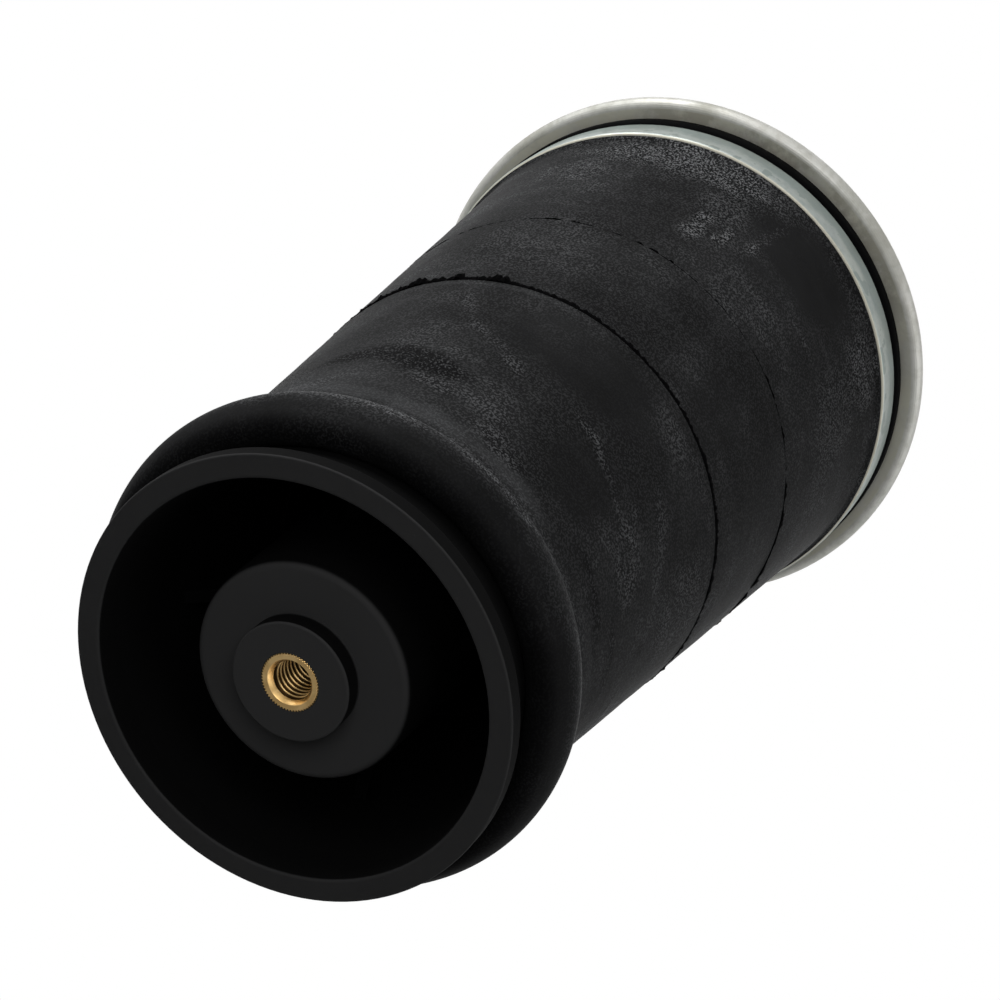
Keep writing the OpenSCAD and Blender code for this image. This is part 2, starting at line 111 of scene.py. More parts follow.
class Value:
    """One output socket. Python's operators on it add Math nodes."""

    __add__ = operator("ADD")
    __radd__ = operator("ADD", reflected=True)
    __sub__ = operator("SUBTRACT")
    __rsub__ = operator("SUBTRACT", reflected=True)
    __mul__ = operator("MULTIPLY")
    __rmul__ = operator("MULTIPLY", reflected=True)
    __abs__ = operator("ABSOLUTE")
    least = operator("MINIMUM")
    most = operator("MAXIMUM")

    def __init__(self, tree: "Tree", socket: bpy.types.NodeSocket) -> None:
        """Keeps the tree and the socket."""
        self.tree = tree
        self.socket = socket

    def step(self, low: float, high: float) -> "Value":
        """A smooth step.

        Args:
            low: where it starts.
            high: where it ends. It may be below low, and the step then falls.

        Returns:
            0 before the step and 1 after it.
        """
        inputs = {"Value": self, "From Min": low, "From Max": high, "To Min": 0.0, "To Max": 1.0}
        return self.tree.node("ShaderNodeMapRange", inputs, interpolation_type="SMOOTHSTEP")

    def band(self, middle: float, half: float, soft: float) -> "Value":
        """A smooth band round a value.

        Args:
            middle: its middle.
            half: half its width.
            soft: the width of its soft edges.

        Returns:
            1 inside the band and 0 outside it.
        """
        return abs(self - middle).step(half + soft, half)

    def above(self, floor: float) -> "Value":
        """This value, squeezed from 0 to 1 into floor to 1."""
        return floor + (1 - floor) * self


@dataclass(frozen=True)
class Pattern:
    """A noise: the size of its lumps, its finer layers, their strength and how long it is drawn."""

    size: float
    detail: float = 2.0
    rough: float = 0.5
    stretch: tuple[float, float, float] = (1.0, 1.0, 1.0)


class Tree:
    """The node tree of a material or a world."""

    def __init__(self, owner: bpy.types.ID) -> None:
        """Empties the owner's tree.

        Args:
            owner: the material or world.
        """
        owner.use_nodes = True
        self.nodes = owner.node_tree.nodes
        self.links = owner.node_tree.links
        self.nodes.clear()

    def node(self, kind: str, inputs: dict | None = None, output: int | str = 0,
             **settings: str) -> Value:
        """Adds one node.

        Args:
            kind: the node's type.
            inputs: values or links of its sockets, by name or number. Colours have no alpha.
            output: the output socket that is returned.
            settings: its own settings.

        Returns:
            That output.
        """
        made = self.nodes.new(kind)
        for name, setting in settings.items():
            setattr(made, name, setting)
        for name, given in (inputs or {}).items():
            socket = made.inputs[name]
            if isinstance(given, Value):
                self.links.new(given.socket, socket)
            else:
                socket.default_value = (*given, 1.0) if socket.type == "RGBA" else given
        return Value(self, made.outputs[output] if made.outputs else None)

    def math(self, operation: str, first: Value | float, second: Value | float = 0.0) -> Value:
        """Adds one Math node."""
        return self.node("ShaderNodeMath", {0: first, 1: second}, operation=operation)

    def mix(self, factor: Value | float, first: Value | tuple, second: Value | tuple) -> Value:
        """Mixes two colours.

        Args:
            factor: 0 gives the first and 1 the second.
            first: a colour or a link.
            second: a colour or a link.

        Returns:
            The mixed colour.
        """
        inputs = {MIX_FACTOR: factor, MIX_FIRST: first, MIX_SECOND: second}
        return self.node("ShaderNodeMix", inputs, MIX_RESULT, data_type="RGBA")

    def place(self) -> Value:
        """Object coordinates."""
        return self.node("ShaderNodeTexCoord", output="Object")

    def attribute(self, name: str, output: str) -> Value:
        """An output of one of the mesh's own attributes."""
        settings = {"attribute_name": name, "attribute_type": "GEOMETRY"}
        return self.node("ShaderNodeAttribute", None, output, **settings)

    def parts(self, place: Value) -> tuple[Value, ...]:
        """X, Y and Z of a vector."""
        made = self.node("ShaderNodeSeparateXYZ", {0: place}).socket.node
        return tuple(Value(self, out) for out in made.outputs)

    def turned(self, place: Value) -> tuple[Value, Value]:
        """The distance of a place from the Z axis, and its height."""
        x, y, z = self.parts(place)
        return self.math("SQRT", x * x + y * y), z

    def noise(self, place: Value, pattern: Pattern) -> Value:
        """Noise from 0 to 1.

        Args:
            place: the coordinates.
            pattern: how it looks.

        Returns:
            The noise.
        """
        scale = tuple(1 / (pattern.size * s) for s in pattern.stretch)
        where = self.node("ShaderNodeVectorMath", {0: place, 1: scale}, operation="MULTIPLY")
        inputs = {"Vector": where, "Scale": 1.0}
        inputs |= {"Detail": pattern.detail, "Roughness": pattern.rough}
        return self.node("ShaderNodeTexNoise", inputs, "Fac")

    def bump(self, height: Value, depth: float, strength: float,
             under: Value | None = None) -> Value:
        """Bends the normal by a height.

        Args:
            height: the height, from 0 to 1.
            depth: how deep 1 is, in metres.
            strength: how much of it is used.
            under: a bent normal to start from.

        Returns:
            The bent normal.
        """
        inputs = {"Height": height, "Distance": depth, "Strength": strength}
        if under is not None:
            inputs["Normal"] = under
        return self.node("ShaderNodeBump", inputs, "Normal")

    def surface(self, **inputs: Value | float | tuple) -> None:
        """Ends the tree in a Principled shader.

        Args:
            inputs: its sockets, with _ for a space.
        """
        named = {name.replace("_", " "): given for name, given in inputs.items()}
        shader = self.node("ShaderNodeBsdfPrincipled", named)
        self.node("ShaderNodeOutputMaterial", {"Surface": shader})


@dataclass(frozen=True)
class Finish:
    """A finish. Each kind of finish below paints its own tree.

    A pair of limits is where a step starts and ends. Three are a band's middle, half and edge.
    """

    name: str

    def paint(self, tree: Tree) -> None:
        """Fills the material's tree."""
        raise NotImplementedError

    def material(self) -> bpy.types.Material:
        """The material of this finish, made on its first use.

        Returns:
            The material.
        """
        made = bpy.data.materials.get(self.name)
        if made is None:
            made = bpy.data.materials.new(self.name)
            self.paint(Tree(made))
        return made


@dataclass(frozen=True)
class SleeveRubber(Finish):
    """Black rubber, dusty on its pebbled grain, with painted shade on the bead and under the lobe.
    It reads the attributes that the sleeve keeps.
    """

    name: str = "dusty_sleeve_rubber"
    dark: tuple = (0.0098, 0.0099, 0.0101)
    mid: tuple = (0.0150, 0.0152, 0.0156)
    dust: tuple = (0.175, 0.178, 0.184)
    # Bare rubber of the pits and wear, and also the painted shade of the bead and of the lobe's
    # underside.
    bare_and_shade_colour: tuple = (0.0016, 0.0016, 0.0018)
    clouds: Pattern = Pattern(26 * MM, 3.0, 0.55)
    patches: Pattern = Pattern(7 * MM, 5.0, 0.65, (1.6, 1.6, 0.8))
    streaks: Pattern = Pattern(6 * MM, 4.0, 0.6, (4.0, 4.0, 0.35))
    grain: Pattern = Pattern(0.54 * MM, 1.5, 0.55)
    fine: Pattern = Pattern(0.22 * MM, 2.0, 0.6)
    waves: Pattern = Pattern(5 * MM, 2.0, 0.5, (1.4, 1.4, 0.8))
    lobe: tuple = (22 * MM, 16 * MM)
    # Painted shade: heights below which the lobe's underside turns near black.
    lobe_shade_z: tuple = (17 * MM, 11 * MM)
    crest: tuple = (29 * MM, 5 * MM, 6 * MM)
    # Painted shade: heights above which the bead under the flange is shaded and bare of dust.
    bead: tuple = (217.5 * MM, 218.5 * MM)
    near_top: tuple = (165 * MM, 205 * MM)
    loose_dust: float = 0.36
    even_dust: float = 0.13
    crest_dust: float = 0.40
    dot_dust: float = 0.80
    worn_dust: float = 0.30
    bright_dust: float = 0.35
    mark_haze: float = 0.15
    crest_haze: float = 0.06
    wave_depth: float = 0.12 * MM
    grain_depth: float = 0.16 * MM

    def paint(self, tree: Tree) -> None:
        """Fills the material's tree.

        Args:
            tree: the tree.
        """
        place = tree.attribute(REST, "Vector")
        _, _, z = tree.parts(place)
        pebbled, worn, wiped = tree.parts(tree.attribute(DUST, "Vector"))
        hazy = tree.attribute(DUST, "Alpha")
        clouds = tree.noise(place, self.clouds)
        patches = tree.noise(place, self.patches)
        streaks = tree.noise(place, self.streaks)
        grain = tree.noise(place, self.grain)
        fine = tree.noise(place, self.fine)
        on_lobe = z.step(*self.lobe)
        # Painted shade of the bead between the crimp ring and the flange.
        bead_shade = z.step(*self.bead)
        crest = z.band(*self.crest) * patches.step(0.36, 0.60).above(0.30)

        # How thick dust lies on the grain, from 0 to 1.
        loose = clouds.step(0.40, 0.70) * patches.step(0.42, 0.62).above(0.30)
        loose = loose.most(z.step(*self.near_top) * patches.step(0.40, 0.60) * 0.7)
        lumps = pebbled.most(loose * self.loose_dust) * (1 - wiped * 0.9)
        lumps = lumps * patches.step(0.38, 0.56).above(0.28) + self.even_dust * (1 - wiped)
        lumps = lumps.most(crest * self.crest_dust).least(1.0)

        # An even haze, and dots of dust on the bumps of the grain.
        haze = hazy * self.mark_haze
        haze = haze + streaks.step(0.50, 0.75) * 0.03 + clouds.step(0.3, 0.7) * 0.04
        haze = haze * (1 - wiped * 0.7) * (0.75 + 0.5 * patches) + crest * self.crest_haze
        film = haze * (1 - worn * 0.95)
        film = film + lumps * grain.step(0.49, 0.59) * (self.dot_dust - worn * 0.62)
        film = film + worn * grain.step(0.57, 0.66) * self.worn_dust
        film = film + pebbled.step(0.72, 0.95) * grain.step(0.60, 0.66) * self.bright_dust
        film = (film + fine.step(0.60, 0.75) * 0.03) * (1 - on_lobe * 0.85) * (1 - bead_shade)
        film = film.least(1.0)

        # Bare rubber in the pits and where it is worn, a little darker on the lobe, and near black
        # painted shade on the bead and under the lobe.
        bare_and_shade = grain.step(0.50, 0.41) * (lumps + worn)
        bare_and_shade = bare_and_shade.most(worn * 0.75).most(bead_shade).least(1.0)
        bare_and_shade = bare_and_shade.most(on_lobe * 0.20).most(z.step(*self.lobe_shade_z) * 0.95)
        base = tree.mix(clouds.step(0.3, 0.72), self.dark, self.mid)
        base = tree.mix(bare_and_shade, base, self.bare_and_shade_colour)

        relief = lumps.most(worn).above(0.25) * (1 - on_lobe * 0.6)
        normal = tree.bump(tree.noise(place, self.waves), self.wave_depth, 0.5)
        tree.surface(
            Base_Color=tree.mix(film, base, self.dust),
            Roughness=0.66 + film * 0.20 + (fine - 0.5) * 0.10,
            Normal=tree.bump(grain * relief, self.grain_depth, 0.8, normal),
            Specular_IOR_Level=0.02,
        )


@dataclass(frozen=True)
class TornRubber(Finish):
    """Fresh black rubber of the flash that the mould left along a seam."""

    name: str = "torn_flash_rubber"
    colour: tuple = (0.0008, 0.0008, 0.0009)
    torn: tuple = (0.0028, 0.0028, 0.0030)
    lumps: Pattern = Pattern(0.5 * MM, 3.0, 0.6)
    depth: float = 0.15 * MM

    def paint(self, tree: Tree) -> None:
        """Fills the material's tree.

        Args:
            tree: the tree.
        """
        lumps = tree.noise(tree.place(), self.lumps)
        tree.surface(
            Base_Color=tree.mix(lumps, self.colour, self.torn),
            Roughness=0.85 + 0.1 * lumps,
            Normal=tree.bump(lumps, self.depth, 0.8),
            Specular_IOR_Level=0.01,
        )


@dataclass(frozen=True)
class MouldedPlastic(Finish):
    """Glass-filled plastic with a fine spark-eroded texture.

    The faces that look down are painted paler and their sides darker, as painted light and painted
    shade, and the deep cavity is painted near black as painted shade. They are told apart by their
    place.
    """

    name: str = "moulded_piston_plastic"
    colour: tuple = (0.034, 0.034, 0.0345)
    inner: tuple = (0.043, 0.043, 0.0435)
    scuff: tuple = (0.048, 0.048, 0.049)
    # Painted shade: side is the dark colour of the walls, against the faces that look down, which
    # are painted paler as if lit.
    side: tuple = (0.0026, 0.0026, 0.0027)
    # Painted shade: the near black of the deep cavity.
    shade: tuple = (0.0010, 0.0010, 0.0011)
    skirt: tuple = (0.014, 0.014, 0.0143)
    texture: Pattern = Pattern(0.22 * MM, 2.0, 0.6)
    flow: Pattern = Pattern(22 * MM, 3.0, 0.55)
    specks: Pattern = Pattern(1.0 * MM)
    depth: float = 0.012 * MM
    rim_z: tuple = (0.5 * MM, 0.2 * MM)
    boss_z: tuple = (1.2 * MM, 0.9 * MM)
    boss_r: tuple = (14.0 * MM, 13.6 * MM)
    column_z: tuple = (5.9 * MM, 0.25 * MM, 0.9 * MM)
    column_r: tuple = (26 * MM, 25 * MM)
    inner_r: tuple = (30 * MM, 28 * MM)
    cavity_shade_z: tuple = (9 * MM, 24 * MM)
    skirt_k: float = 0.126
    skirt_r: tuple = (46.2 * MM, 47.0 * MM)
    skirt_z: tuple = (13 * MM, 18 * MM)

    def paint(self, tree: Tree) -> None:
        """Fills the material's tree.

        Args:
            tree: the tree.
        """
        place = tree.place()
        radius, z = tree.turned(place)
        texture = tree.noise(place, self.texture)
        flow = tree.noise(place, self.flow)
        film = flow.step(0.4, 0.75) * 0.25 + tree.noise(place, self.specks).step(0.70, 0.76) * 0.7
        column = z.band(*self.column_z) * radius.step(*self.column_r)
        boss = z.step(*self.boss_z) * radius.step(*self.boss_r)
        # Painted light and shade: faces that look down get the paler colour, and every other wall
        # gets the painted shade of side.
        down = z.step(*self.rim_z).most(column).most(boss)
        outside = (radius + z * self.skirt_k).step(*self.skirt_r) * z.step(*self.skirt_z)
        face = tree.mix(radius.step(*self.inner_r), self.colour, self.inner)
        colour = tree.mix(down, self.side, tree.mix(film, face, self.scuff))
        # Painted shade: deep in the cavity the plastic is painted near black.
        colour = tree.mix(z.step(*self.cavity_shade_z) * 0.9, colour, self.shade)
        tree.surface(
            Base_Color=tree.mix(outside, colour, tree.mix(film, self.skirt, self.inner)),
            Roughness=(0.60 + 0.08 * flow + 0.06 * texture).most(0.82 - down * 0.3),
            Normal=tree.bump(texture, self.depth, 0.6),
            Specular_IOR_Level=0.05,
        )


@dataclass(frozen=True)
class TurnedMetal(Finish):
    """Metal with fine marks that run round the spring's axis, and stains."""

    name: str = "turned_metal"
    colour: tuple = (0.61, 0.605, 0.57)
    stain: tuple = (0.40, 0.395, 0.35)
    tint: tuple = (0.54, 0.545, 0.51)
    rough: float = 0.44
    metal: float = 0.62
    lines: Pattern = Pattern(0.16 * MM, 2.0, 0.6)
    arcs: Pattern = Pattern(2.2 * MM, 3.0, 0.6, (4.0, 4.0, 0.12))
    stains: Pattern = Pattern(16 * MM, 4.0, 0.62)
    spots: Pattern = Pattern(1.3 * MM)
    mottle: Pattern = Pattern(2.4 * MM, 4.0, 0.65)
    depth: float = 0.006 * MM
    marks: float = 0.5

    def skin(self, tree: Tree, place: Value, colour: Value) -> tuple[Value, Value | float]:
        """Colour and metal share of the surface at a place."""
        return colour, self.metal

    def paint(self, tree: Tree) -> None:
        """Fills the material's tree.

        Args:
            tree: the tree.
        """
        place = tree.place()
        radius, z = tree.turned(place)
        ring = tree.node("ShaderNodeCombineXYZ", {"X": radius, "Y": z, "Z": 0.0})
        lines = tree.noise(ring, self.lines)
        arcs = tree.noise(place, self.arcs)
        stains = tree.noise(place, self.stains)
        spots = tree.noise(place, self.spots).step(0.73, 0.80)
        mottle = tree.noise(place, self.mottle).step(0.55, 0.35)
        wear = stains.step(0.50, 0.28) * 0.6 + spots * 0.35 + mottle * 0.35
        wear = wear.most(arcs.step(0.56, 0.72) * 0.4).least(1.0)
        colour = tree.mix(stains.step(0.36, 0.70), self.tint, self.colour)
        colour, metal = self.skin(tree, place, tree.mix(wear, colour, self.stain))
        tree.surface(
            Base_Color=colour,
            Metallic=metal,
            Roughness=self.rough + 0.16 * stains.step(0.62, 0.35) + 0.10 * arcs,
            Normal=tree.bump(lines * 0.5 + arcs * 0.5, self.depth, self.marks),
        )


@dataclass(frozen=True)
class FlangeSteel(TurnedMetal):
    """Steel of the top plate, painted darker on the flat under its flange as painted shade, and
    brown on one side.
    """

    name: str = "grey_plate_steel"
    # Painted shade: the darker colour of the flat that looks down under the flange.
    flat: tuple = (0.56, 0.55, 0.46)
    brown: tuple = (0.34, 0.325, 0.27)
    clouds: Pattern = Pattern(5 * MM, 4.0, 0.65)
    patches: Pattern = Pattern(9 * MM, 5.0, 0.7)
    shade_flat_r: tuple = (50 * MM, 54 * MM)
    roll_r: tuple = (67.9 * MM, 67.6 * MM)
    shade_flat_z: tuple = (228.1 * MM, 227.1 * MM)
    brown_x: float = 0.82
    brown_y: float = 0.57
    brown_at: tuple = (38 * MM, 60 * MM)
    brown_z: tuple = (231.1 * MM, 229.1 * MM)

    def skin(self, tree: Tree, place: Value, colour: Value) -> tuple[Value, Value | float]:
        """Colour and metal share of the surface at a place.

        Args:
            tree: the tree.
            place: the coordinates.
            colour: the colour so far.

        Returns:
            Both.
        """
        x, y, z = tree.parts(place)
        radius, _ = tree.turned(place)
        # Painted shade: the flat under the flange is darkened, mottled by clouds.
        flat = radius.step(*self.roll_r) * z.step(*self.shade_flat_z) * radius.step(*self.shade_flat_r)
        clouds = tree.noise(place, self.clouds).step(0.30, 0.62)
        colour = tree.mix(flat * (0.35 + 0.55 * clouds), colour, self.flat)
        side = (x * self.brown_x + y * self.brown_y).step(*self.brown_at)
        patches = tree.noise(place, self.patches).step(0.40, 0.58)
        brown = side * z.step(*self.brown_z) * patches * (0.25 + 0.45 * flat)
        return tree.mix(brown, colour, self.brown), self.metal


@dataclass(frozen=True)
class CrimpZinc(TurnedMetal):
    """Pale zinc of the crimp ring, painted pale cream and duller on its lower edge as a painted
    highlight, and teal in patches.
    """

    name: str = "pale_crimp_zinc"
    colour: tuple = (0.43, 0.465, 0.435)
    stain: tuple = (0.28, 0.32, 0.295)
    tint: tuple = (0.385, 0.42, 0.41)
    rough: float = 0.36
    metal: float = 0.85
    stains: Pattern = Pattern(11 * MM, 4.0, 0.62)
    marks: float = 0.35
    # Painted highlight: the pale cream of the ring's lower edge, where it looks at the light.
    edge: tuple = (0.62, 0.60, 0.50)
    edge_metal: float = 0.30
    lit_edge_z: tuple = (211.65 * MM, 211.45 * MM)
    teal: tuple = (0.235, 0.28, 0.265)
    teal_z: tuple = (217.7 * MM, 220.7 * MM)
    drift: Pattern = Pattern(9 * MM, 3.0, 0.6)
    drift_by: float = 7 * MM
    patches: Pattern = Pattern(5.5 * MM, 3.0, 0.55)

    def skin(self, tree: Tree, place: Value, colour: Value) -> tuple[Value, Value | float]:
        """Colour and metal share of the surface at a place.

        Args:
            tree: the tree.
            place: the coordinates.
            colour: the colour so far.

        Returns:
            Both.
        """
        _, _, z = tree.parts(place)
        # Painted highlight: the lower edge is pale cream and less metallic.
        low = z.step(*self.lit_edge_z)
        upper = (z + tree.noise(place, self.drift) * self.drift_by).step(*self.teal_z)
        patches = tree.noise(place, self.patches).step(0.58, 0.61)
        colour = tree.mix((upper * 0.75).most(patches * 0.8), colour, self.teal)
        metal = self.metal - (self.metal - self.edge_metal) * low
        return tree.mix(low, colour, self.edge), metal


@dataclass(frozen=True)
class PlainMetal(Finish):
    """Pressed steel or zinc-plated fasteners, with no turning marks."""

    name: str = "plain_inner_steel"
    colour: tuple = (0.46, 0.46, 0.45)
    stain: tuple = (0.30, 0.295, 0.28)
    stained: tuple = (0.35, 0.7)
    rough: float = 0.38
    stains: Pattern = Pattern(7 * MM, 4.0, 0.6)
    grain: Pattern = Pattern(0.3 * MM, 2.0, 0.6)
    depth: float = 0.008 * MM
    marks: float = 0.4

    def skin(self, tree: Tree, place: Value, colour: Value) -> Value:
        """Colour of the surface at a place."""
        return colour

    def paint(self, tree: Tree) -> None:
        """Fills the material's tree.

        Args:
            tree: the tree.
        """
        place = tree.place()
        stains = tree.noise(place, self.stains)
        grain = tree.noise(place, self.grain)
        colour = tree.mix(stains.step(*self.stained), self.stain, self.colour)
        tree.surface(
            Base_Color=self.skin(tree, place, colour),
            Metallic=1.0,
            Roughness=self.rough + 0.14 * stains + 0.06 * grain,
            Normal=tree.bump(grain, self.depth, self.marks),
        )


@dataclass(frozen=True)
class MachinedBrass(PlainMetal):
    """Turned brass, painted near black in the grooves of the insert's thread as painted shade."""

    name: str = "machined_brass"
    colour: tuple = (0.86, 0.60, 0.27)
    stain: tuple = (0.66, 0.43, 0.17)
    stained: tuple = (0.3, 0.7)
    # Painted shade: the near black brown of the thread's grooves.
    deep: tuple = (0.035, 0.018, 0.006)
    rough: float = 0.24
    stains: Pattern = Pattern(3.5 * MM, 4.0, 0.6)
    grain: Pattern = Pattern(0.12 * MM, 2.0, 0.6)
    depth: float = 0.004 * MM
    marks: float = 0.5
    thread_low: tuple = (2.0 * MM, 2.3 * MM)
    thread_top: tuple = (60 * MM, 50 * MM)
    crest_r: tuple = (4.30 * MM, 4.55 * MM)
    root_r: tuple = (5.25 * MM, 5.05 * MM)

    def skin(self, tree: Tree, place: Value, colour: Value) -> Value:
        """Colour of the surface at a place.

        Args:
            tree: the tree.
            place: the coordinates.
            colour: the colour so far.

        Returns:
            The colour.
        """
        radius, z = tree.turned(place)
        # Painted shade: the thread's grooves inside the bore are painted near black.
        groove = radius.step(*self.crest_r) * radius.step(*self.root_r)
        groove = groove * z.step(*self.thread_low) * z.step(*self.thread_top)
        return tree.mix(groove, colour, self.deep)


@dataclass(frozen=True)
class SmoothPolymer(Finish):
    """Seals, the collet and the foam bumper."""

    name: str = "seal_rubber_smooth"
    colour: tuple = (0.008, 0.008, 0.008)
    second: tuple = (0.014, 0.014, 0.014)
    rough: float = 0.42
    patches: Pattern = Pattern(9 * MM, 3.0, 0.6)
    pore: float = 0.5 * MM
    depth: float = 0.01 * MM

    def paint(self, tree: Tree) -> None:
        """Fills the material's tree.

        Args:
            tree: the tree.
        """
        place = tree.place()
        patches = tree.noise(place, self.patches)
        cells = {"Vector": place, "Scale": 1 / self.pore}
        pores = tree.node("ShaderNodeTexVoronoi", cells, "Distance", feature="F1")
        tree.surface(
            Base_Color=tree.mix(patches.step(0.3, 0.7), self.colour, self.second),
            Roughness=self.rough + 0.1 * patches,
            Normal=tree.bump(pores, self.depth, 0.6),
        )


SLEEVE_RUBBER = SleeveRubber()
FLASH_RUBBER = TornRubber()
PISTON_PLASTIC = MouldedPlastic()
PLATE_STEEL = FlangeSteel()
RING_ZINC = CrimpZinc()
FASTENER_ZINC = PlainMetal(
    name="fastener_zinc", colour=(0.55, 0.57, 0.56), stain=(0.40, 0.41, 0.39), rough=0.30
)
INNER_STEEL = PlainMetal()
BRASS = MachinedBrass()
SEAL = SmoothPolymer()
COLLET = SmoothPolymer(
    name="collet_polymer", colour=(0.011, 0.011, 0.012), second=(0.016, 0.016, 0.017), rough=0.30
)
FOAM = SmoothPolymer(
    name="bumper_foam", colour=(0.60, 0.52, 0.34), second=(0.52, 0.44, 0.27), rough=0.75,
    pore=0.7 * MM, depth=0.08 * MM,
)


def deselect() -> None:
    """Deselects every object."""
    bpy.ops.object.select_all(action="DESELECT")


def current() -> bpy.types.Object:
    """The object that operators act on."""
    return bpy.context.view_layer.objects.active


def activate(piece: bpy.types.Object) -> None:
    """Makes one object the selected and active one.

    Args:
        piece: the object.
    """
    deselect()
    piece.select_set(True)
    bpy.context.view_layer.objects.active = piece


@contextmanager
def editing(piece: bpy.types.Object) -> Iterator[None]:
    """Holds one object in edit mode.

    Args:
        piece: the object.

    Yields:
        Nothing.
    """
    activate(piece)
    bpy.ops.object.mode_set(mode="EDIT")
    yield
    bpy.ops.object.mode_set(mode="OBJECT")


def pick(piece: bpy.types.Object, wanted: set[int]) -> None:
    """Selects vertices in edit mode, and what lies between them.

    Args:
        piece: the object in edit mode.
        wanted: the numbers of the vertices.
    """
    mesh = bmesh.from_edit_mesh(piece.data)
    mesh.select_mode = {"VERT"}
    for vertex in mesh.verts:
        vertex.select_set(vertex.index in wanted)
    mesh.select_flush_mode()
    bmesh.update_edit_mesh(piece.data)


def cap(piece: bpy.types.Object, sides: int) -> None:
    """Closes a mesh's openings with flat faces.

    Args:
        piece: the mesh.
        sides: the most edges that an opening has.
    """
    with editing(piece):
        bpy.ops.mesh.select_all(action="DESELECT")
        bpy.ops.mesh.select_mode(type="EDGE")
        bpy.ops.mesh.select_non_manifold()
        bpy.ops.mesh.fill_holes(sides=sides)


def settle(piece: bpy.types.Object, angle: float = 35.0) -> bpy.types.Object:
    """Merges doubles, turns the faces outwards and smooths what is not a sharp edge.

    Args:
        piece: a closed mesh.
        angle: edges sharper than this many degrees stay sharp.

    Returns:
        The piece, in object mode.
    """
    with editing(piece):
        bpy.ops.mesh.select_all(action="SELECT")
        bpy.ops.mesh.remove_doubles(threshold=0.002 * MM)
        bpy.ops.mesh.normals_make_consistent(inside=False)
    bpy.ops.object.shade_smooth_by_angle(angle=math.radians(angle))
    return piece


def push(vertex: bpy.types.MeshVertex, radius: float) -> None:
    """Moves a vertex to another distance from the Z axis.

    Args:
        vertex: the vertex.
        radius: the distance.
    """
    share = radius / math.hypot(vertex.co.x, vertex.co.y)
    vertex.co.x *= share
    vertex.co.y *= share


def finish(piece: bpy.types.Object, coat: Finish) -> bpy.types.Object:
    """Gives a new piece its material.

    Args:
        piece: the piece.
        coat: its finish.

    Returns:
        The piece.
    """
    piece.data.materials.clear()
    piece.data.materials.append(coat.material())
    log.info("piece %s: %d faces, %s", piece.name, len(piece.data.polygons), coat.name)
    return piece


def join(pieces: list[bpy.types.Object], name: str) -> bpy.types.Object:
    """Joins pieces into one object.

    Args:
        pieces: the pieces; the first one takes the rest.
        name: its new name.

    Returns:
        The joined object.
    """
    activate(pieces[0])
    for piece in pieces[1:]:
        piece.select_set(True)
    bpy.ops.object.join()
    pieces[0].name = name
    return pieces[0]


@dataclass
class Lathe:
    """Turns a profile round the Z axis, ring by ring."""

    name: str
    segments: int

    def turn(self, profile: list[Vector | tuple], closed: bool) -> bpy.types.Object:
        """Extrudes one ring from the next.

        Args:
            profile: radius and height of each ring, in order.
            closed: whether the last ring is joined to the first.

        Returns:
            The turned mesh.
        """
        deselect()
        radius, height = profile[0]
        bpy.ops.mesh.primitive_circle_add(
            vertices=self.segments, radius=radius, location=(0, 0, height)
        )
        piece = current()
        piece.name = self.name
        bpy.ops.object.transform_apply(location=True, rotation=True, scale=True)
        with editing(piece):
            bpy.ops.mesh.select_all(action="SELECT")
            for new_radius, new_height in profile[1:]:
                rise = (0, 0, new_height - height)
                bpy.ops.mesh.extrude_region_move(TRANSFORM_OT_translate={"value": rise})
                share = new_radius / radius
                middle = (0, 0, new_height)
                bpy.ops.transform.resize(value=(share, share, 1), center_override=middle)
                radius, height = new_radius, new_height
            if closed:
                count = self.segments * len(profile)
                ends = set(range(self.segments)) | set(range(count - self.segments, count))
                pick(piece, ends)
                bpy.ops.mesh.bridge_edge_loops()
        return piece


def arc(centre: Vector, radius: float, first: float, last: float, steps: int) -> list[Vector]:
    """Points of an arc.

    Args:
        centre: its centre.
        radius: its radius.
        first: the angle it starts at, in radians.
        last: the angle it ends at.
        steps: the number of its steps.

    Returns:
        The points, both ends included.
    """
    angles = (first + (last - first) * i / steps for i in range(steps + 1))
    return [centre + radius * Vector((math.cos(a), math.sin(a))) for a in angles]


def line(start: Vector, end: Vector, steps: int) -> list[Vector]:
    """Points of a straight line, both ends included."""
    return [start.lerp(end, i / steps) for i in range(steps + 1)]


@dataclass(frozen=True)
class Mark:
    """A place on the sleeve where dust lies or was rubbed off.

    The place and the half sizes are degrees round the axis and millimetres of height. A degree
    is about a millimetre on the sleeve, so turn is the angle that one sees.
    """

    angle: float
    height: float
    half_angle: float
    half_height: float
    strength: float = 1.0
    turn: float = 0.0

    def share(self, angle: float, height: float, soft: float) -> float:
        """How strong the mark is at a point.

        Args:
            angle: the point's angle, in degrees.
            height: its height, in millimetres.
            soft: share of the mark that fades out.

        Returns:
            The strength in the mark's middle and 0 outside it.
        """
        turn = math.radians(self.turn)
        across, up = angle - self.angle, height - self.height
        u = (across * math.cos(turn) + up * math.sin(turn)) / self.half_angle
        v = (up * math.cos(turn) - across * math.sin(turn)) / self.half_height
        t = max(0.0, min(1.0, (1 + soft - math.hypot(u, v)) / (2 * soft)))
        return self.strength * t * t * (3 - 2 * t)


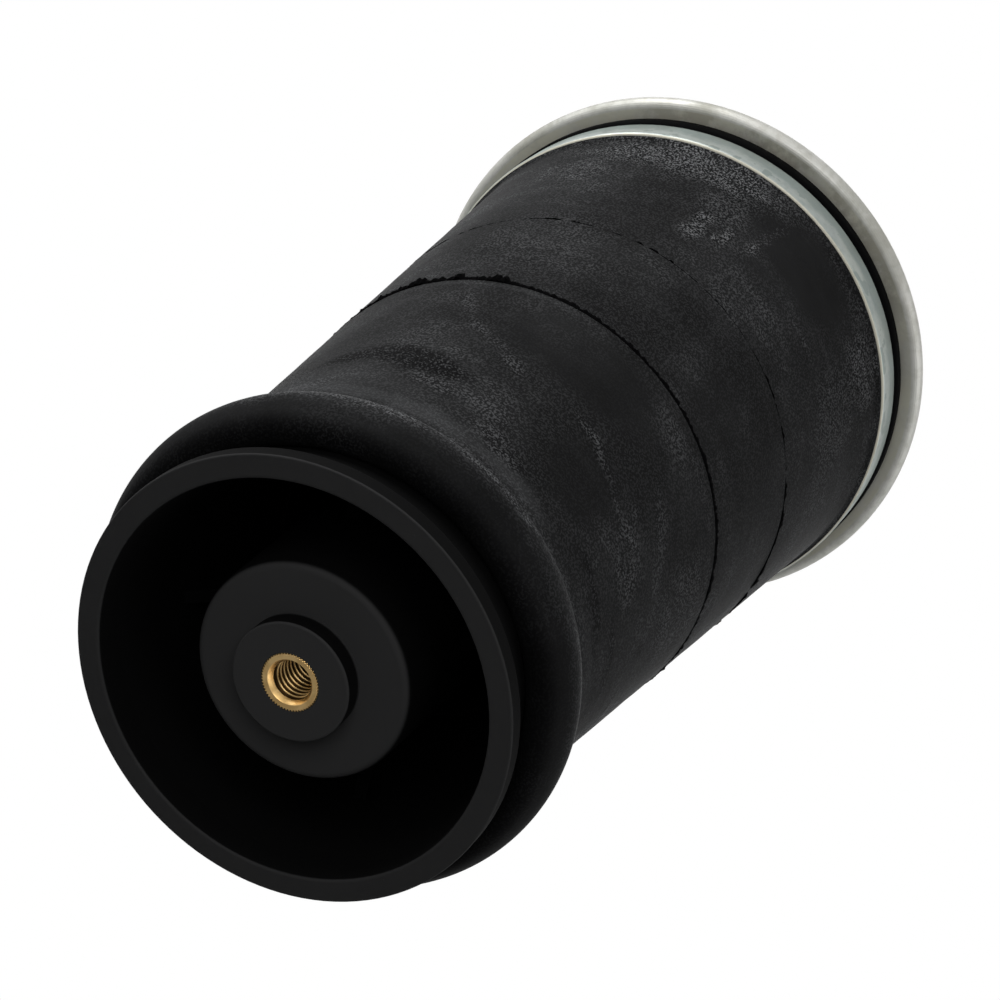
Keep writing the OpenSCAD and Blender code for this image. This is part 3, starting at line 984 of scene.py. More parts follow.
@dataclass(frozen=True)
class DustMap:
    """Where the sleeve is pebbled with dust, worn dark, wiped smooth or hazy."""

    pebbled: tuple = (
        Mark(12, 203, 26, 10), Mark(-8, 188, 7, 11, 0.6), Mark(-18, 190, 4, 9, 0.5),
        Mark(80, 201, 9, 9, 0.85), Mark(86, 181, 12, 14, 0.4), Mark(26.5, 172, 2.2, 9, 1.0),
        Mark(32.5, 173, 1.4, 7, 1.0), Mark(40, 189, 1.9, 17, 1.0, -4), Mark(28, 186, 7, 9, 0.4),
        Mark(54.5, 199, 3.5, 4, 0.45), Mark(78, 62, 10, 5.5, 0.55, -22),
        Mark(68.5, 71, 1.5, 2, 0.6), Mark(56, 67.8, 13, 1.1, 0.7, -19.8),
        Mark(11, 52, 9, 2.5, 0.4, -8), Mark(24, 53, 9, 6, 0.30, -30),
        Mark(34, 44, 8, 3.5, 0.4, -15), Mark(-14, 22.5, 15, 3.2, 0.5, 5),
        Mark(14, 24, 16, 3.6, 0.8, 3), Mark(42, 25, 16, 3, 0.7), Mark(78, 25, 20, 3, 0.6),
        Mark(112, 23, 14, 3, 0.5), Mark(1, 92, 9, 1.4, 0.45, -63), Mark(11, 80, 8, 1.4, 0.45, -34),
        Mark(22, 72, 5, 1.8, 0.35, -40), Mark(0, 134, 15, 20, 0.25), Mark(45, 158, 11, 9, 0.3),
        Mark(103, 90, 13, 14, 0.4), Mark(97, 77, 5, 6, 0.3), Mark(82, 78, 13, 2.5, 0.35, -22),
        Mark(60, 173, 9, 1.4, 0.4), Mark(102, 173, 9, 11, 0.3),
    )
    worn: tuple = (
        Mark(-14, 61, 10, 3.2, 1.0, 8), Mark(3, 60.5, 14, 4.8, 1.0, -10),
        Mark(105, 69, 2.6, 2.6, 0.7), Mark(121, 64, 8, 1.2, 0.8, -10),
        Mark(100, 52.5, 12, 1.0, 0.7), Mark(78, 45.8, 13, 1.0, 0.7), Mark(88, 43.4, 11, 0.9, 0.6),
    )
    wiped: tuple = (
        Mark(51, 193, 17, 15), Mark(47, 172, 9, 6, 0.7), Mark(35, 90, 23, 13, 0.8),
        Mark(54, 58, 11, 12, 0.6), Mark(62, 118, 9, 14, 0.5),
    )
    hazy: tuple = (
        Mark(-8, 47, 22, 7, 0.45, -10), Mark(-24, 78, 14, 22, 0.2), Mark(112, 130, 18, 24, 0.2),
        Mark(-22, 172, 15, 26, 0.25), Mark(-21, 45, 9, 2.2, 1.0, -27),
        Mark(-5, 41, 13, 2.6, 1.0, -11), Mark(16, 39, 13, 3, 1.0, -4),
        Mark(40, 38, 14, 2.6, 0.8, -1), Mark(2, 105, 26, 0.7, 0.6), Mark(100, 42, 22, 2, 0.4, 8),
    )
    soft: tuple = (0.45, 0.35, 0.30, 0.60)
    wander: float = 1.4
    wander_size: float = 4 * MM
    fray: float = 0.7
    fray_size: float = 1.5 * MM
    seed: int = 1

    def at(self, place: Vector) -> tuple[float, ...]:
        """The strength of the four kinds of mark at a point of the sleeve.

        Args:
            place: the point at rest.

        Returns:
            Pebbled, worn, wiped and hazy, each from 0 to 1.
        """
        shift = self.wander * noise.noise_vector(place / self.wander_size)
        shift += self.fray * noise.noise_vector(place / self.fray_size)
        angle = math.degrees(math.atan2(place.y, place.x)) + shift.x
        height = place.z / MM + shift.y
        kinds = (self.pebbled, self.worn, self.wiped, self.hazy)
        return tuple(
            max(mark.share(angle, height, soft) for mark in marks)
            for marks, soft in zip(kinds, self.soft)
        )


@dataclass
class SleeveShape:
    """The sleeve's section: a cone, a neck fillet, the lobe, its curl and the leg on the piston."""

    foot_r: float
    ring_in_r: float
    ring_z: float
    wall: float = 2.3 * MM
    gap: float = 0.2 * MM
    ring_nip: float = 0.3 * MM
    foot_step: float = 2.8 * MM
    skirt_z: float = 6.4 * MM
    piston_h: float = 92 * MM
    skirt_taper: float = 10.8 * MM
    lobe_over: float = 5.8 * MM
    lobe_z: float = 20.7 * MM
    lobe_arc: float = 11.2 * MM
    curl: float = math.radians(35)
    fold_gap: float = 1.3 * MM
    neck_rise: float = 14 * MM
    neck_fillet: float = 9 * MM
    fillet_steps: int = 14
    lobe_steps: int = 22
    curl_steps: int = 6
    under_steps: int = 10

    def __post_init__(self) -> None:
        """Works out the tangent arcs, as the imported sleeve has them."""
        self.skirt_r = self.foot_r - self.foot_step
        self.skirt_k = self.skirt_taper / (self.piston_h - self.skirt_z)
        self.neck_z = self.lobe_z + self.neck_rise
        self.neck_r = self.skirt_at(self.neck_z) + self.gap + 2 * self.wall + self.fold_gap
        cone_h = self.ring_z - self.neck_z
        self.cone_k = (self.ring_in_r + self.ring_nip - self.neck_r) / cone_h
        self.cone_a = math.atan2(self.cone_k, -1.0)
        self.lobe_c = Vector((self.foot_r + self.lobe_over - self.lobe_arc, self.lobe_z))
        self.leg_n = Vector((1.0, self.skirt_k)).normalized()
        self.leg_a = -math.pi + math.atan2(self.leg_n.y, self.leg_n.x)

        # The fillet's centre is one radius from the cone and touches the lobe from outside.
        k, root = self.cone_k, math.hypot(1, self.cone_k)
        side = self.cone_at(self.lobe_z, 0) + self.neck_fillet * root - self.lobe_c.x
        reach = self.lobe_arc + self.neck_fillet
        square = (k * side) ** 2 - (1 + k * k) * (side * side - reach * reach)
        rise = (math.sqrt(square) - k * side) / (1 + k * k)
        self.fillet_c = self.lobe_c + Vector((side + k * rise, rise))
        self.fillet_a = math.atan2(rise, side + k * rise)

        # The curl goes on from the lobe, with a radius that ends along the piston's skirt.
        curl_n = Vector((math.cos(self.curl), -math.sin(self.curl)))
        curl_p = self.lobe_c + self.lobe_arc * curl_n
        leg_c = Vector((self.skirt_r, self.skirt_z)) + self.gap * self.leg_n
        self.curl_r = (curl_p - leg_c).dot(self.leg_n) / (1 + curl_n.dot(self.leg_n))
        self.curl_c = curl_p - self.curl_r * curl_n

    def skirt_at(self, z: float) -> float:
        """Outer radius of the piston's skirt at a height."""
        return self.skirt_r - self.skirt_k * (z - self.skirt_z)

    def cone_at(self, z: float, off: float) -> float:
        """Radius of the cone at a height, moved in by off."""
        return self.neck_r + self.cone_k * (z - self.neck_z) - off * math.hypot(1, self.cone_k)

    def cone_point(self, z: float) -> Vector:
        """Point of the cone at a height."""
        return Vector((self.cone_at(z, 0), z))

    def leg_at(self, z: float, off: float) -> Vector:
        """Point of the inner leg at a height, moved out from the piston by off."""
        return Vector((self.skirt_at(z) + (self.gap + off) / self.leg_n.x, z))

    def outer_line(self, off: float, steps: int) -> list[Vector]:
        """The line from the crimp ring down to the lowest point of the curl.

        Args:
            off: how far it lies inside the outer surface.
            steps: how finely the cone is divided.

        Returns:
            Its points.
        """
        top = Vector((self.cone_at(self.ring_z, off), self.ring_z))
        fillet = arc(self.fillet_c, self.neck_fillet + off, self.cone_a,
                     self.fillet_a + math.pi, self.fillet_steps)
        lobe = arc(self.lobe_c, self.lobe_arc - off, self.fillet_a, -self.curl, self.lobe_steps)
        curl = arc(self.curl_c, self.curl_r - off, -self.curl, -math.pi / 2, self.curl_steps)
        return line(top, fillet[0], steps) + fillet[1:] + lobe + curl[1:]

    def inner_line(self, off: float, steps: int) -> list[Vector]:
        """The line from the lowest point of the curl up the piston.

        Args:
            off: how far it lies inside the outer surface.
            steps: how finely the leg is divided.

        Returns:
            Its points.
        """
        curl = arc(self.curl_c, self.curl_r - off, -math.pi / 2, self.leg_a, self.under_steps)
        return curl + line(curl[-1], self.leg_at(self.piston_h, off), steps)[1:]


@dataclass
class Sleeve:
    """The rubber sleeve: an outer half that ends in the top and an inner half on the piston."""

    shape: SleeveShape
    collar_r: float
    bead_r: float
    bead_low: float
    bead_top: float
    land_r: float
    leg_top: float
    dust: DustMap = DustMap()
    bead_soft: float = 1.6 * MM
    bead_steps: int = 5
    nib: float = 0.4 * MM
    neck_h: float = 2.5 * MM
    seams: tuple = (106.5 * MM, 148.5 * MM)
    seam_drop: tuple = (0.30 * MM, 0.07 * MM)
    seam_run: float = 9 * MM
    seam_rows: tuple = (0.6 * MM, 0.06 * MM, 0.0, -0.6 * MM)
    seam_free: float = 0.9 * MM
    lip: float = 0.9 * MM
    lip_run: float = 5 * MM
    lip_rows: tuple = (0.25 * MM, 0.55 * MM, 0.9 * MM, 1.4 * MM, 2.0 * MM)
    segments: int = 288
    cone_steps: int = 150
    inside_steps: int = 12
    leg_steps: int = 40
    leg_inside_steps: int = 16
    lumps: float = 0.16 * MM
    lump_size: float = 12 * MM
    lumps_low: float = 6 * MM
    lumps_top: float = 2 * MM

    def skin(self, point: Vector) -> Vector:
        """Moves a point of the outer line in just above each seam, and out under the crimp ring.

        Args:
            point: radius and height.

        Returns:
            The point on the stepped surface.
        """
        drop = 0.0
        for z, depth in zip(self.seams, self.seam_drop):
            above = point.y - z
            if 0 < above < self.seam_run:
                drop += depth * (1 - above / self.seam_run) ** 2
        near = 1 + (point.y - self.shape.ring_z) / self.lip_run
        if 0 < near < 1:
            drop -= self.lip * math.sin(math.pi * near**4)
        return point - Vector((drop, 0))

    def outer_profile(self) -> list[Vector]:
        """The closed section of the outer half, with the bead under the flange.

        Returns:
            Its points.
        """
        shape, soft = self.shape, self.bead_soft
        seat = shape.ring_in_r - shape.gap
        middle = self.bead_r - soft
        top_c = Vector((middle, self.bead_top - soft))
        low_c = Vector((middle, self.bead_low + soft))
        bead = [
            Vector((self.collar_r, self.bead_top)),
            *arc(top_c, soft, math.pi / 2, 0, self.bead_steps),
            *arc(low_c, soft, 0, -math.pi / 2, self.bead_steps),
            Vector((seat, self.bead_low)),
            Vector((seat, shape.ring_z + self.nib)),
        ]
        outer = [
            point for point in shape.outer_line(0.0, self.cone_steps)
            if all(abs(point.y - z) >= self.seam_free for z in self.seams)
        ]
        outer += [shape.cone_point(z + shift) for z in self.seams for shift in self.seam_rows]
        outer += [shape.cone_point(shape.ring_z - below) for below in self.lip_rows]
        outer = [self.skin(point) for point in outer]
        cone = sorted((p for p in outer if p.y > shape.neck_z), key=lambda p: -p.y)
        rest = [p for p in outer if p.y <= shape.neck_z]
        inner = shape.outer_line(shape.wall, self.inside_steps)
        return bead + cone + rest + inner[::-1] + [Vector((self.collar_r, shape.ring_z))]

    def inner_profile(self) -> list[Vector]:
        """The closed section of the inner half, up to the crimp on the piston's head.

        Returns:
            Its points.
        """
        shape = self.shape
        heights = (shape.piston_h + self.neck_h, self.leg_top)
        top = [Vector((self.land_r, height)) for height in heights]
        back = [point + Vector((shape.wall, 0)) for point in reversed(top)]
        inner = shape.inner_line(shape.wall, self.leg_inside_steps)
        return shape.inner_line(0.0, self.leg_steps) + top + back + inner[::-1]

    def keep_rest(self, piece: bpy.types.Object) -> None:
        """Keeps each point's place at rest and its dust as attributes, for the material.

        Args:
            piece: a half of the sleeve.
        """
        points = [v.co.copy() for v in piece.data.vertices]
        rest = piece.data.attributes.new(REST, "FLOAT_VECTOR", "POINT")
        rest.data.foreach_set("vector", [c for p in points for c in p])
        # Without a seed, noise_vector starts from the clock and differs from run to run.
        noise.seed_set(self.dust.seed)
        dust = piece.data.attributes.new(DUST, "FLOAT_COLOR", "POINT")
        dust.data.foreach_set("color", [c for p in points for c in self.dust.at(p)])

    def roughen(self, piece: bpy.types.Object) -> None:
        """Displaces the outer skin by soft lumps.

        Args:
            piece: the outer half.
        """
        shape = self.shape
        middle = shape.wall / 2
        group = piece.vertex_groups.new(name="skin")
        skin = [
            v.index for v in piece.data.vertices
            if shape.lobe_z + self.lumps_low < v.co.z < shape.ring_z - self.lumps_top
            and math.hypot(v.co.x, v.co.y) > shape.cone_at(v.co.z, middle)
        ]
        group.add(skin, 1.0, "REPLACE")
        lumps = bpy.data.textures.new("sleeve_lumps", "CLOUDS")
        lumps.noise_scale = self.lump_size
        activate(piece)
        bpy.ops.object.modifier_add(type="DISPLACE")
        wave = piece.modifiers[-1]
        wave.texture = lumps
        wave.vertex_group = group.name
        wave.strength = self.lumps
        wave.mid_level = 0.5
        bpy.ops.object.modifier_apply(modifier=wave.name)

    def build(self) -> None:
        """Builds and places both halves and the flash along the seams."""
        shape = self.shape
        outer = Lathe("sleeve_outer", self.segments).turn(self.outer_profile(), closed=True)
        settle(outer)
        self.roughen(outer)
        inner = Lathe("sleeve_inner", self.segments).turn(self.inner_profile(), closed=True)
        settle(inner)
        for half in (outer, inner):
            self.keep_rest(half)
            finish(half, SLEEVE_RUBBER)
        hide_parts("bellows")
        names = ("seam_flash_low", "seam_flash_high")
        flashes = [
            SeamFlash(name, z, shape, edge, drop).build()
            for name, z, edge, drop in zip(names, self.seams, (RAGGED, SPARSE), self.seam_drop)
        ]
        for piece in (outer, *flashes):
            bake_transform(piece)
        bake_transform(inner)


@dataclass(frozen=True)
class FlashEdge:
    """How far torn rubber reaches above a seam.

    Heights are angles in degrees and millimetres, in order. Lumps have an angle, a height that
    they add and a spread. The noises say how many of their lumps a radian has.
    """

    heights: tuple
    lumps: tuple
    gaps: float
    fine: float = 50
    coarse: float = 22
    low: float = 0.35
    swing: float = 1.3
    steep: float = 4
    least: float = 0.02

    def height_at(self, degrees: float, z: float) -> float:
        """Height of the rubber at one angle.

        Args:
            degrees: the angle round the axis.
            z: the seam's height, which tells one seam's noise from another's.

        Returns:
            The height, in metres.
        """
        angle = math.radians(degrees)
        where = Vector((math.cos(angle), math.sin(angle), z / MM))
        fine = 0.5 + 0.5 * noise.fractal(where * self.fine, 0.8, 2.2, 4)
        coarse = 0.5 + 0.5 * noise.noise(where * self.coarse)
        height = self.heights[-1][1]
        for (a0, h0), (a1, h1) in zip(self.heights, self.heights[1:]):
            if a0 <= degrees <= a1:
                height = h0 + (h1 - h0) * (degrees - a0) / (a1 - a0)
        height *= self.low + self.swing * fine
        height *= max(0.0, min(1.0, (coarse - self.gaps) * self.steep))
        for middle, extra, spread in self.lumps:
            height += extra * (0.5 + fine) * math.exp(-(((degrees - middle) / spread) ** 4))
        return max(self.least, height) * MM


RAGGED = FlashEdge(
    heights=((-180, 1.0), (-60, 1.2), (-38, 2.0), (-24, 3.0), (-6, 2.7), (10, 1.9), (30, 1.5),
             (68, 1.25), (92, 1.8), (126, 2.0), (180, 1.2)),
    lumps=((-31, 0.8, 1.8), (-20, 3.2, 1.7), (-9, 3.2, 1.2), (1.5, 2.6, 2.4), (21, 0.9, 1.0),
           (69.5, 0.8, 1.4), (103, 0.5, 3.0)),
    gaps=-0.2,
)
SPARSE = FlashEdge(
    heights=((-180, 0.25), (-40, 0.25), (10, 0.2), (90, 0.25), (97, 1.0), (120, 1.2), (130, 0.4),
             (180, 0.25)),
    lumps=((-2, 0.3, 2.0), (4, 0.25, 1.0), (20.5, 0.5, 0.9), (24, 0.55, 1.2), (29, 0.4, 0.6),
           (67, 0.3, 3.0), (79, 0.2, 2.0), (101, 0.8, 2.0), (117, 1.4, 2.0)),
    gaps=0.28,
)


@dataclass
class SeamFlash:
    """A ragged film of torn rubber that lies on the sleeve above a seam.

    Its section has shares of the film's height and millimetres out from the sleeve.
    """

    name: str
    z: float
    shape: SleeveShape
    edge: FlashEdge
    step: float
    section: tuple = (
        (0.0, -0.5), (0.0, 0.32), (0.3, 0.42), (0.75, 0.36), (1.0, 0.14), (1.0, -0.5)
    )
    run: float = 9 * MM
    thin: float = 0.6 * MM
    tall: float = 1.6 * MM
    squash: float = 0.45
    swell: float = 0.5
    thickest: float = 2.8
    lump: float = 0.9
    lump_swing: float = 0.7
    lump_least: float = 0.65
    lump_count: float = 45
    segments: int = 1440

    def build(self) -> bpy.types.Object:
        """Builds the film.

        Returns:
            The piece.
        """
        radius = self.shape.cone_at(self.z, 0)
        rings = [(radius + out * MM, self.z + up * MM) for up, out in self.section]
        piece = Lathe(self.name, self.segments).turn(rings, closed=True)
        for vertex in piece.data.vertices:
            up, out = self.section[vertex.index // self.segments]
            angle = math.atan2(vertex.co.y, vertex.co.x)
            where = Vector((math.cos(angle), math.sin(angle), up)) * self.lump_count
            height = self.edge.height_at(math.degrees(angle), self.z)
            over = max(0.0, height - self.tall)
            height = min(height, self.tall + self.squash * over)
            bulk = max(self.lump_least, self.lump + self.lump_swing * noise.noise(where))
            bulk *= min(1.0, height / self.thin) * min(self.thickest, 1 + self.swell * over / MM)
            vertex.co.z = self.z + up * height
            left = max(0.0, 1 - up * height / self.run)
            skin = self.shape.cone_at(vertex.co.z, 0) - self.step * left**2
            push(vertex, skin + out * MM * (bulk if out > 0 else 1.0))
        settle(piece, 50.0)
        return finish(piece, FLASH_RUBBER)


@dataclass
class Thread:
    """A helical ridge with a trapezoid section."""

    name: str
    root_r: float
    crest_r: float
    pitch: float
    low: float
    turns: int
    steps: int = 40
    sink: float = 0.04 * MM
    base_share: float = 7 / 16
    crest_share: float = 1 / 8

    def build(self) -> bpy.types.Object:
        """Shapes one section of the ridge and winds it.

        Returns:
            The ridge, closed at both ends.
        """
        root = self.root_r + math.copysign(self.sink, self.root_r - self.crest_r)
        base, crest = self.pitch * self.base_share, self.pitch * self.crest_share
        deselect()
        bpy.ops.mesh.primitive_plane_add(size=1.0)
        piece = current()
        piece.name = self.name
        corners = [(root, -base), (root, base), (self.crest_r, -crest), (self.crest_r, crest)]
        for vertex, (radius, height) in zip(piece.data.vertices, corners):
            vertex.co = (radius, 0, self.low + height)
        with editing(piece):
            bpy.ops.mesh.select_all(action="SELECT")
            bpy.ops.mesh.delete(type="ONLY_FACE")
        bpy.ops.object.modifier_add(type="SCREW")
        wind = piece.modifiers[-1]
        wind.axis = "Z"
        wind.screw_offset = self.pitch
        wind.iterations = self.turns
        wind.steps = wind.render_steps = self.steps
        bpy.ops.object.modifier_apply(modifier=wind.name)
        cap(piece, 4)
        return settle(piece, 40.0)


@dataclass
class Insert:
    """Knurled brass insert with a real thread, in place of the plain imported one."""

    low: float
    high: float
    outer_r: float
    teeth: int = 60
    tooth: float = 0.32 * MM
    chamfer: float = 0.35 * MM
    bevel: float = 0.12 * MM
    face_step: float = 0.2 * MM
    groove: float = 0.6 * MM
    groove_h: float = 1.2 * MM
    groove_z: float = 7.0 * MM
    thread_r: float = 4.25 * MM
    throat_step: float = 0.15 * MM
    root_r: float = 4.95 * MM
    mouth_r: float = 5.05 * MM
    mouth_d: float = 1.3 * MM
    pitch: float = 1.5 * MM
    lead_in: float = 0.55

    def build(self) -> None:
        """Builds the body, its knurl and its thread."""
        room = self.high - self.low - self.mouth_d - self.pitch
        start = self.low + self.mouth_d + self.pitch * self.lead_in
        turns = int(room / self.pitch)
        body = self.body()
        ridge = Thread("insert_thread", self.root_r, self.thread_r, self.pitch, start, turns)
        piece = join([body, ridge.build()], "threaded_insert")
        finish(piece, BRASS)
        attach(piece, Body.PISTON.value)
        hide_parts("thread_insert")

    def body(self) -> bpy.types.Object:
        """Turns the plain body and knurls its outside.

        Returns:
            The body.
        """
        throat_r = self.thread_r + self.throat_step
        throat_z = self.low + self.mouth_d
        inner = self.outer_r - self.tooth
        face_r = inner - self.face_step
        waist = self.low + self.groove_z
        rings = [
            (self.root_r, self.high), (self.outer_r - self.chamfer, self.high),
            (self.outer_r, self.high - self.chamfer), (self.outer_r, waist + self.groove_h),
            (inner - self.groove, waist + self.groove_h), (inner - self.groove, waist),
            (self.outer_r, waist), (self.outer_r, self.low + self.bevel),
            (self.outer_r - self.bevel, self.low), (face_r, self.low),
            (self.mouth_r + self.bevel, self.low), (self.mouth_r, self.low + self.bevel),
            (throat_r, throat_z), (self.root_r, throat_z + self.bevel),
        ]
        piece = Lathe("insert_body", self.teeth * 4).turn(rings, closed=True)
        for vertex in piece.data.vertices:
            radius = math.hypot(vertex.co.x, vertex.co.y)
            if radius > face_r + self.bevel and vertex.index % 4 in (0, 1):
                push(vertex, radius - self.tooth)
        return settle(piece, 25.0)


@dataclass
class Stud:
    """A threaded weld stud with its collar, in place of an imported one."""

    x: float
    low: float
    high: float
    segments: int = 64
    radius: float = 4.0 * MM
    root_r: float = 3.35 * MM
    core_r: float = 0.4 * MM
    pitch: float = 1.25 * MM
    collar_r: float = 7.0 * MM
    collar_h: float = 1.6 * MM
    soft: float = 0.35 * MM
    shank: float = 2.2 * MM
    undercut: float = 0.5 * MM
    point: float = 0.7 * MM
    point_step: float = 0.6 * MM
    thread_gap: float = 0.9 * MM

    def build(self, name: str) -> bpy.types.Object:
        """Builds the stud at its place.

        Args:
            name: its name.

        Returns:
            The stud.
        """
        collar = self.low + self.collar_h
        shank = collar + self.shank
        rings = [
            (self.core_r, self.low), (self.collar_r, self.low),
            (self.collar_r, collar - self.soft), (self.collar_r - self.soft, collar),
            (self.radius + self.soft, collar), (self.radius, collar + self.soft),
            (self.radius, shank), (self.root_r, shank + self.undercut),
            (self.root_r, self.high - self.point), (self.root_r - self.point_step, self.high),
            (self.core_r, self.high),
        ]
        body = Lathe(name + "_body", self.segments).turn(rings, closed=False)
        cap(body, self.segments)
        settle(body, 30.0)
        start = shank + self.thread_gap
        turns = int((self.high - self.thread_gap - start) / self.pitch)
        ridge = Thread(name + "_thread", self.root_r, self.radius, self.pitch, start, turns)
        piece = join([body, ridge.build()], name)
        bpy.ops.transform.translate(value=(self.x, 0, 0))
        bpy.ops.object.transform_apply(location=True, rotation=True, scale=True)
        return finish(piece, FASTENER_ZINC)


@dataclass
class TopEnd:
    """The studs that stand on the top plate."""

    low: float
    high: float
    half_span: float

    def build(self) -> None:
        """Builds the threaded studs."""
        for name, side in {"stud_left": -1, "stud_right": 1}.items():
            stud = Stud(side * self.half_span, self.low, self.high).build(name)
            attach(stud, Body.TOP.value)
            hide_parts("mounting_studs")


@dataclass(frozen=True)
class Coats:
    """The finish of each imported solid, also of those that a new piece replaces."""

    groups: tuple = (
        (PLATE_STEEL, ("top_plate",)),
        (RING_ZINC, ("crimp_ring",)),
        (INNER_STEEL, ("clamp_collar", "fitting_grab_ring", "bump_stop_cup")),
        (FASTENER_ZINC, ("mounting_studs", "port_bush", "lower_crimp_ring", "head_screws",
                         "bump_stop_screw")),
        (SEAL, ("fitting_washer", "fitting_seal", "head_seal")),
        (BRASS, ("fitting_body", "fitting_sleeve", "thread_insert")),
        (COLLET, ("fitting_collet",)),
        (SLEEVE_RUBBER, ("bellows",)),
        (PISTON_PLASTIC, ("piston", "piston_head")),
        (FOAM, ("bump_stop",)),
    )

    def dress(self, nodes: dict) -> None:
        """Puts each finish on its nodes.

        Args:
            nodes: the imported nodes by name.
        """
        coats = {name: coat for coat, names in self.groups for name in names}
        for name, node in nodes.items():
            coat = coats[name]
            for place in node.material_slots:
                place.material = coat.material()
            log.info("node %s: %s", name, coat.name)


@dataclass(frozen=True)
class Lamp:
    """A square softbox that faces the spring, and whether it stands low.

    The level is how brightly it alone lights a surface that faces it. 1 shows a colour as written.
    """

    name: str
    place: tuple
    size: float
    level: float
    low: bool = False

    def build(self, aim: Vector) -> bpy.types.Object:
        """Adds the lamp.

        Args:
            aim: the point that it faces.

        Returns:
            The lamp.
        """
        data = bpy.data.lights.new(self.name, "AREA")
        data.shape = "SQUARE"
        data.size = self.size
        away = aim - Vector(self.place)
        data.energy = self.level * (math.pi * away.length) ** 2
        lamp = bpy.data.objects.new(self.name, data)
        bpy.context.scene.collection.objects.link(lamp)
        turn = away.to_track_quat("-Z", "Y").to_matrix().to_4x4()
        lamp.matrix_world = Matrix.Translation(self.place) @ turn
        return lamp


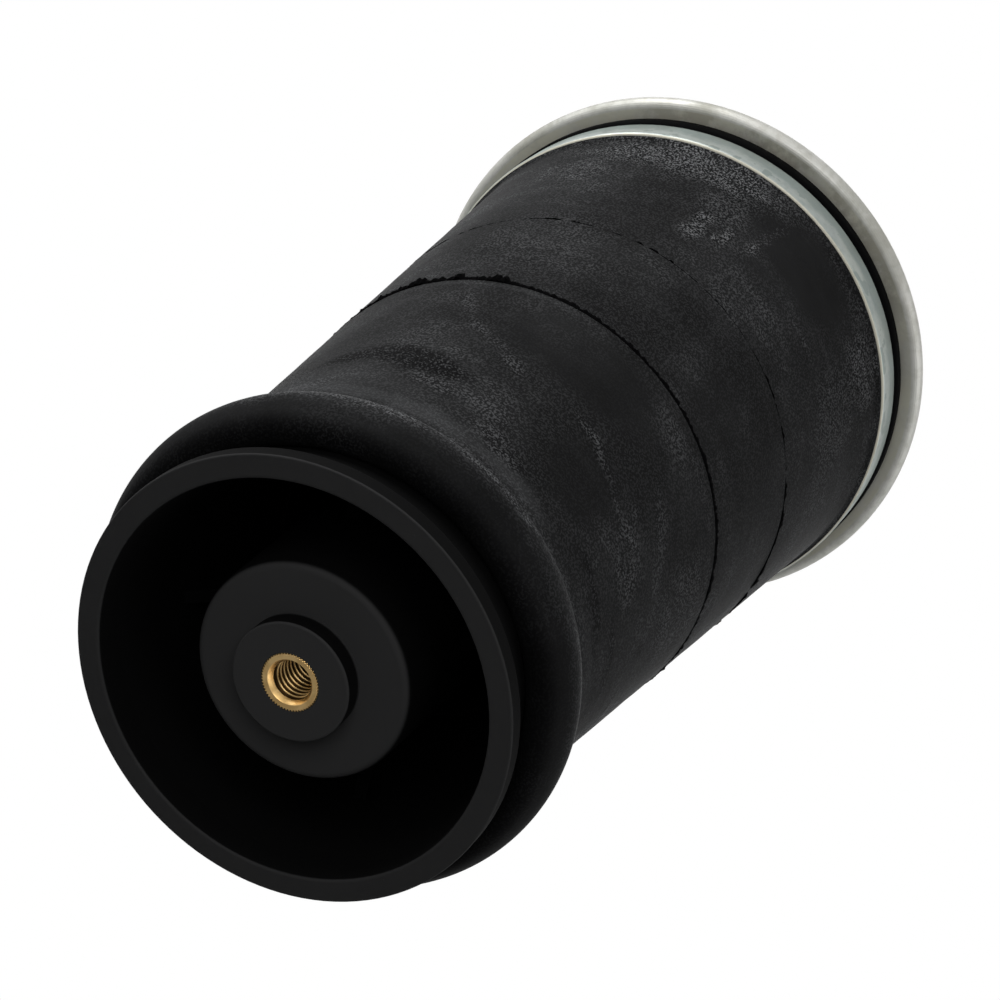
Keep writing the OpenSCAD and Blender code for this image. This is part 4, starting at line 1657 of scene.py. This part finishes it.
@dataclass
class Studio:
    """The photograph's camera, plain soft lamps, a pale floor and a white world."""

    eye: tuple = (0.2543, 0.2543, -0.4775)
    target: tuple = (0.0, 0.0, 0.1102)
    roll: float = math.radians(49.04)
    lens: float = 104.4
    sensor: float = 36.0
    clip_start: float = 0.01
    lamps: tuple = (
        Lamp("key", (0.80, -0.30, 0.20), 0.6, 0.80, low=True),
        Lamp("front", (0.60, 0.35, -0.60), 0.6, 0.32, low=True),
        Lamp("bounce", (-0.25, 0.90, 0.05), 0.8, 0.24, low=True),
        Lamp("overhead", (-0.30, -0.30, 1.15), 0.9, 0.60),
        Lamp("back", (-0.75, -0.75, 0.45), 0.7, 0.45),
    )
    aim: tuple = (0, 0, 0.12)
    floor_half: float = 1.6
    floor_colour: tuple = (0.84, 0.84, 0.83)
    floor_glow: float = 0.6
    white: tuple = (1, 1, 1)
    ambient: float = 0.16
    ambient_low: float = 0.25
    ambient_z: tuple = (-0.8, 0.2)
    mirror_low: float = 0.26
    mirror_high: float = 0.85
    mirror_z: tuple = (-0.9, 0.1)

    def camera(self) -> None:
        """Places the camera where the photograph was taken from."""
        data = bpy.data.cameras.new("photo_camera")
        data.lens = self.lens
        data.sensor_width = self.sensor
        data.clip_start = self.clip_start
        camera = bpy.data.objects.new("photo_camera", data)
        bpy.context.scene.collection.objects.link(camera)
        forward = Vector(self.target) - Vector(self.eye)
        turn = forward.to_track_quat("-Z", "Y") @ Quaternion((0, 0, 1), self.roll)
        camera.matrix_world = Matrix.Translation(self.eye) @ turn.to_matrix().to_4x4()
        bpy.context.scene.camera = camera

    def floor(self) -> bpy.types.Object:
        """Lays a pale floor that only a camera above it sees.

        Returns:
            The floor.
        """
        deselect()
        bpy.ops.mesh.primitive_plane_add(size=2 * self.floor_half)
        floor = current()
        floor.name = "floor"
        made = bpy.data.materials.new("pale_floor")
        tree = Tree(made)
        ray = tree.node("ShaderNodeLightPath", output="Is Camera Ray")
        back = tree.node("ShaderNodeNewGeometry", output="Backfacing")
        matt = tree.node("ShaderNodeBsdfDiffuse", {"Color": self.floor_colour})
        glow = tree.node("ShaderNodeEmission", {"Color": self.floor_colour, "Strength": 1.0})
        paint = tree.node("ShaderNodeMixShader", {0: self.floor_glow, 1: matt, 2: glow})
        clear = tree.node("ShaderNodeBsdfTransparent")
        shown = tree.node("ShaderNodeMixShader", {0: ray * (1 - back), 1: clear, 2: paint})
        tree.node("ShaderNodeOutputMaterial", {"Surface": shown})
        floor.data.materials.append(made)
        return floor

    def spare(self, floor: bpy.types.Object, lamps: list[bpy.types.Object]) -> None:
        """Keeps low lamps off the floor, where the plane of a lamp would show as a hard edge.

        Args:
            floor: the floor.
            lamps: the low lamps.
        """
        spared = bpy.data.collections.new("floor_without_low_lamps")
        spared.objects.link(floor)
        spared.collection_objects[0].light_linking.link_state = "EXCLUDE"
        for lamp in lamps:
            lamp.light_linking.receiver_collection = spared

    def world(self) -> None:
        """Makes a world that is white to the camera and dimmer as a light."""
        world = bpy.data.worlds.new("studio_world")
        bpy.context.scene.world = world
        tree = Tree(world)
        _, _, z = tree.parts(tree.node("ShaderNodeTexCoord", output="Generated"))
        rays = ("Is Camera Ray", "Is Glossy Ray", "Is Transmission Ray")
        camera, glossy, through = (tree.node("ShaderNodeLightPath", output=ray) for ray in rays)
        mirror = z.step(*self.mirror_z) * (self.mirror_high - self.mirror_low) + self.mirror_low
        diffuse = z.step(*self.ambient_z).above(self.ambient_low) * self.ambient
        level = camera.most(through).most(glossy * mirror).most(diffuse)
        light = tree.node("ShaderNodeBackground", {"Color": self.white, "Strength": level})
        tree.node("ShaderNodeOutputWorld", {"Surface": light})

    def build(self) -> None:
        """Builds the whole studio."""
        self.camera()
        floor = self.floor()
        self.world()
        made = [lamp.build(Vector(self.aim)) for lamp in self.lamps]
        self.spare(floor, [piece for lamp, piece in zip(self.lamps, made) if lamp.low])
        bpy.context.scene.view_settings.view_transform = "Standard"


def main() -> None:
    """Builds the spring and its studio."""
    logging.basicConfig(level=logging.INFO, format="%(name)s: %(message)s")
    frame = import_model()
    deselect()
    Studio().build()

    ring_wall = 1.7 * MM
    seat = 0.2 * MM
    leg_over = 2 * MM
    ring_low, ring_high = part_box("crimp_ring")
    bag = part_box("bellows")[1]
    Sleeve(
        shape=SleeveShape(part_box("piston")[1].x, ring_high.x - ring_wall, ring_low.z),
        collar_r=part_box("clamp_collar")[1].x + seat,
        bead_r=bag.x,
        bead_low=ring_high.z + seat,
        bead_top=bag.z,
        land_r=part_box("piston_head")[1].x + seat,
        leg_top=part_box("lower_crimp_ring")[1].z + leg_over,
    ).build()

    insert_low, insert_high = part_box("thread_insert")
    Insert(insert_low.z, insert_high.z, insert_high.x).build()
    studs_low, studs_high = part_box("mounting_studs")
    TopEnd(studs_low.z, studs_high.z, studs_high.x - Stud.collar_r).build()
    Coats().dress(frame["nodes"])


if __name__ == "__main__":
    main()
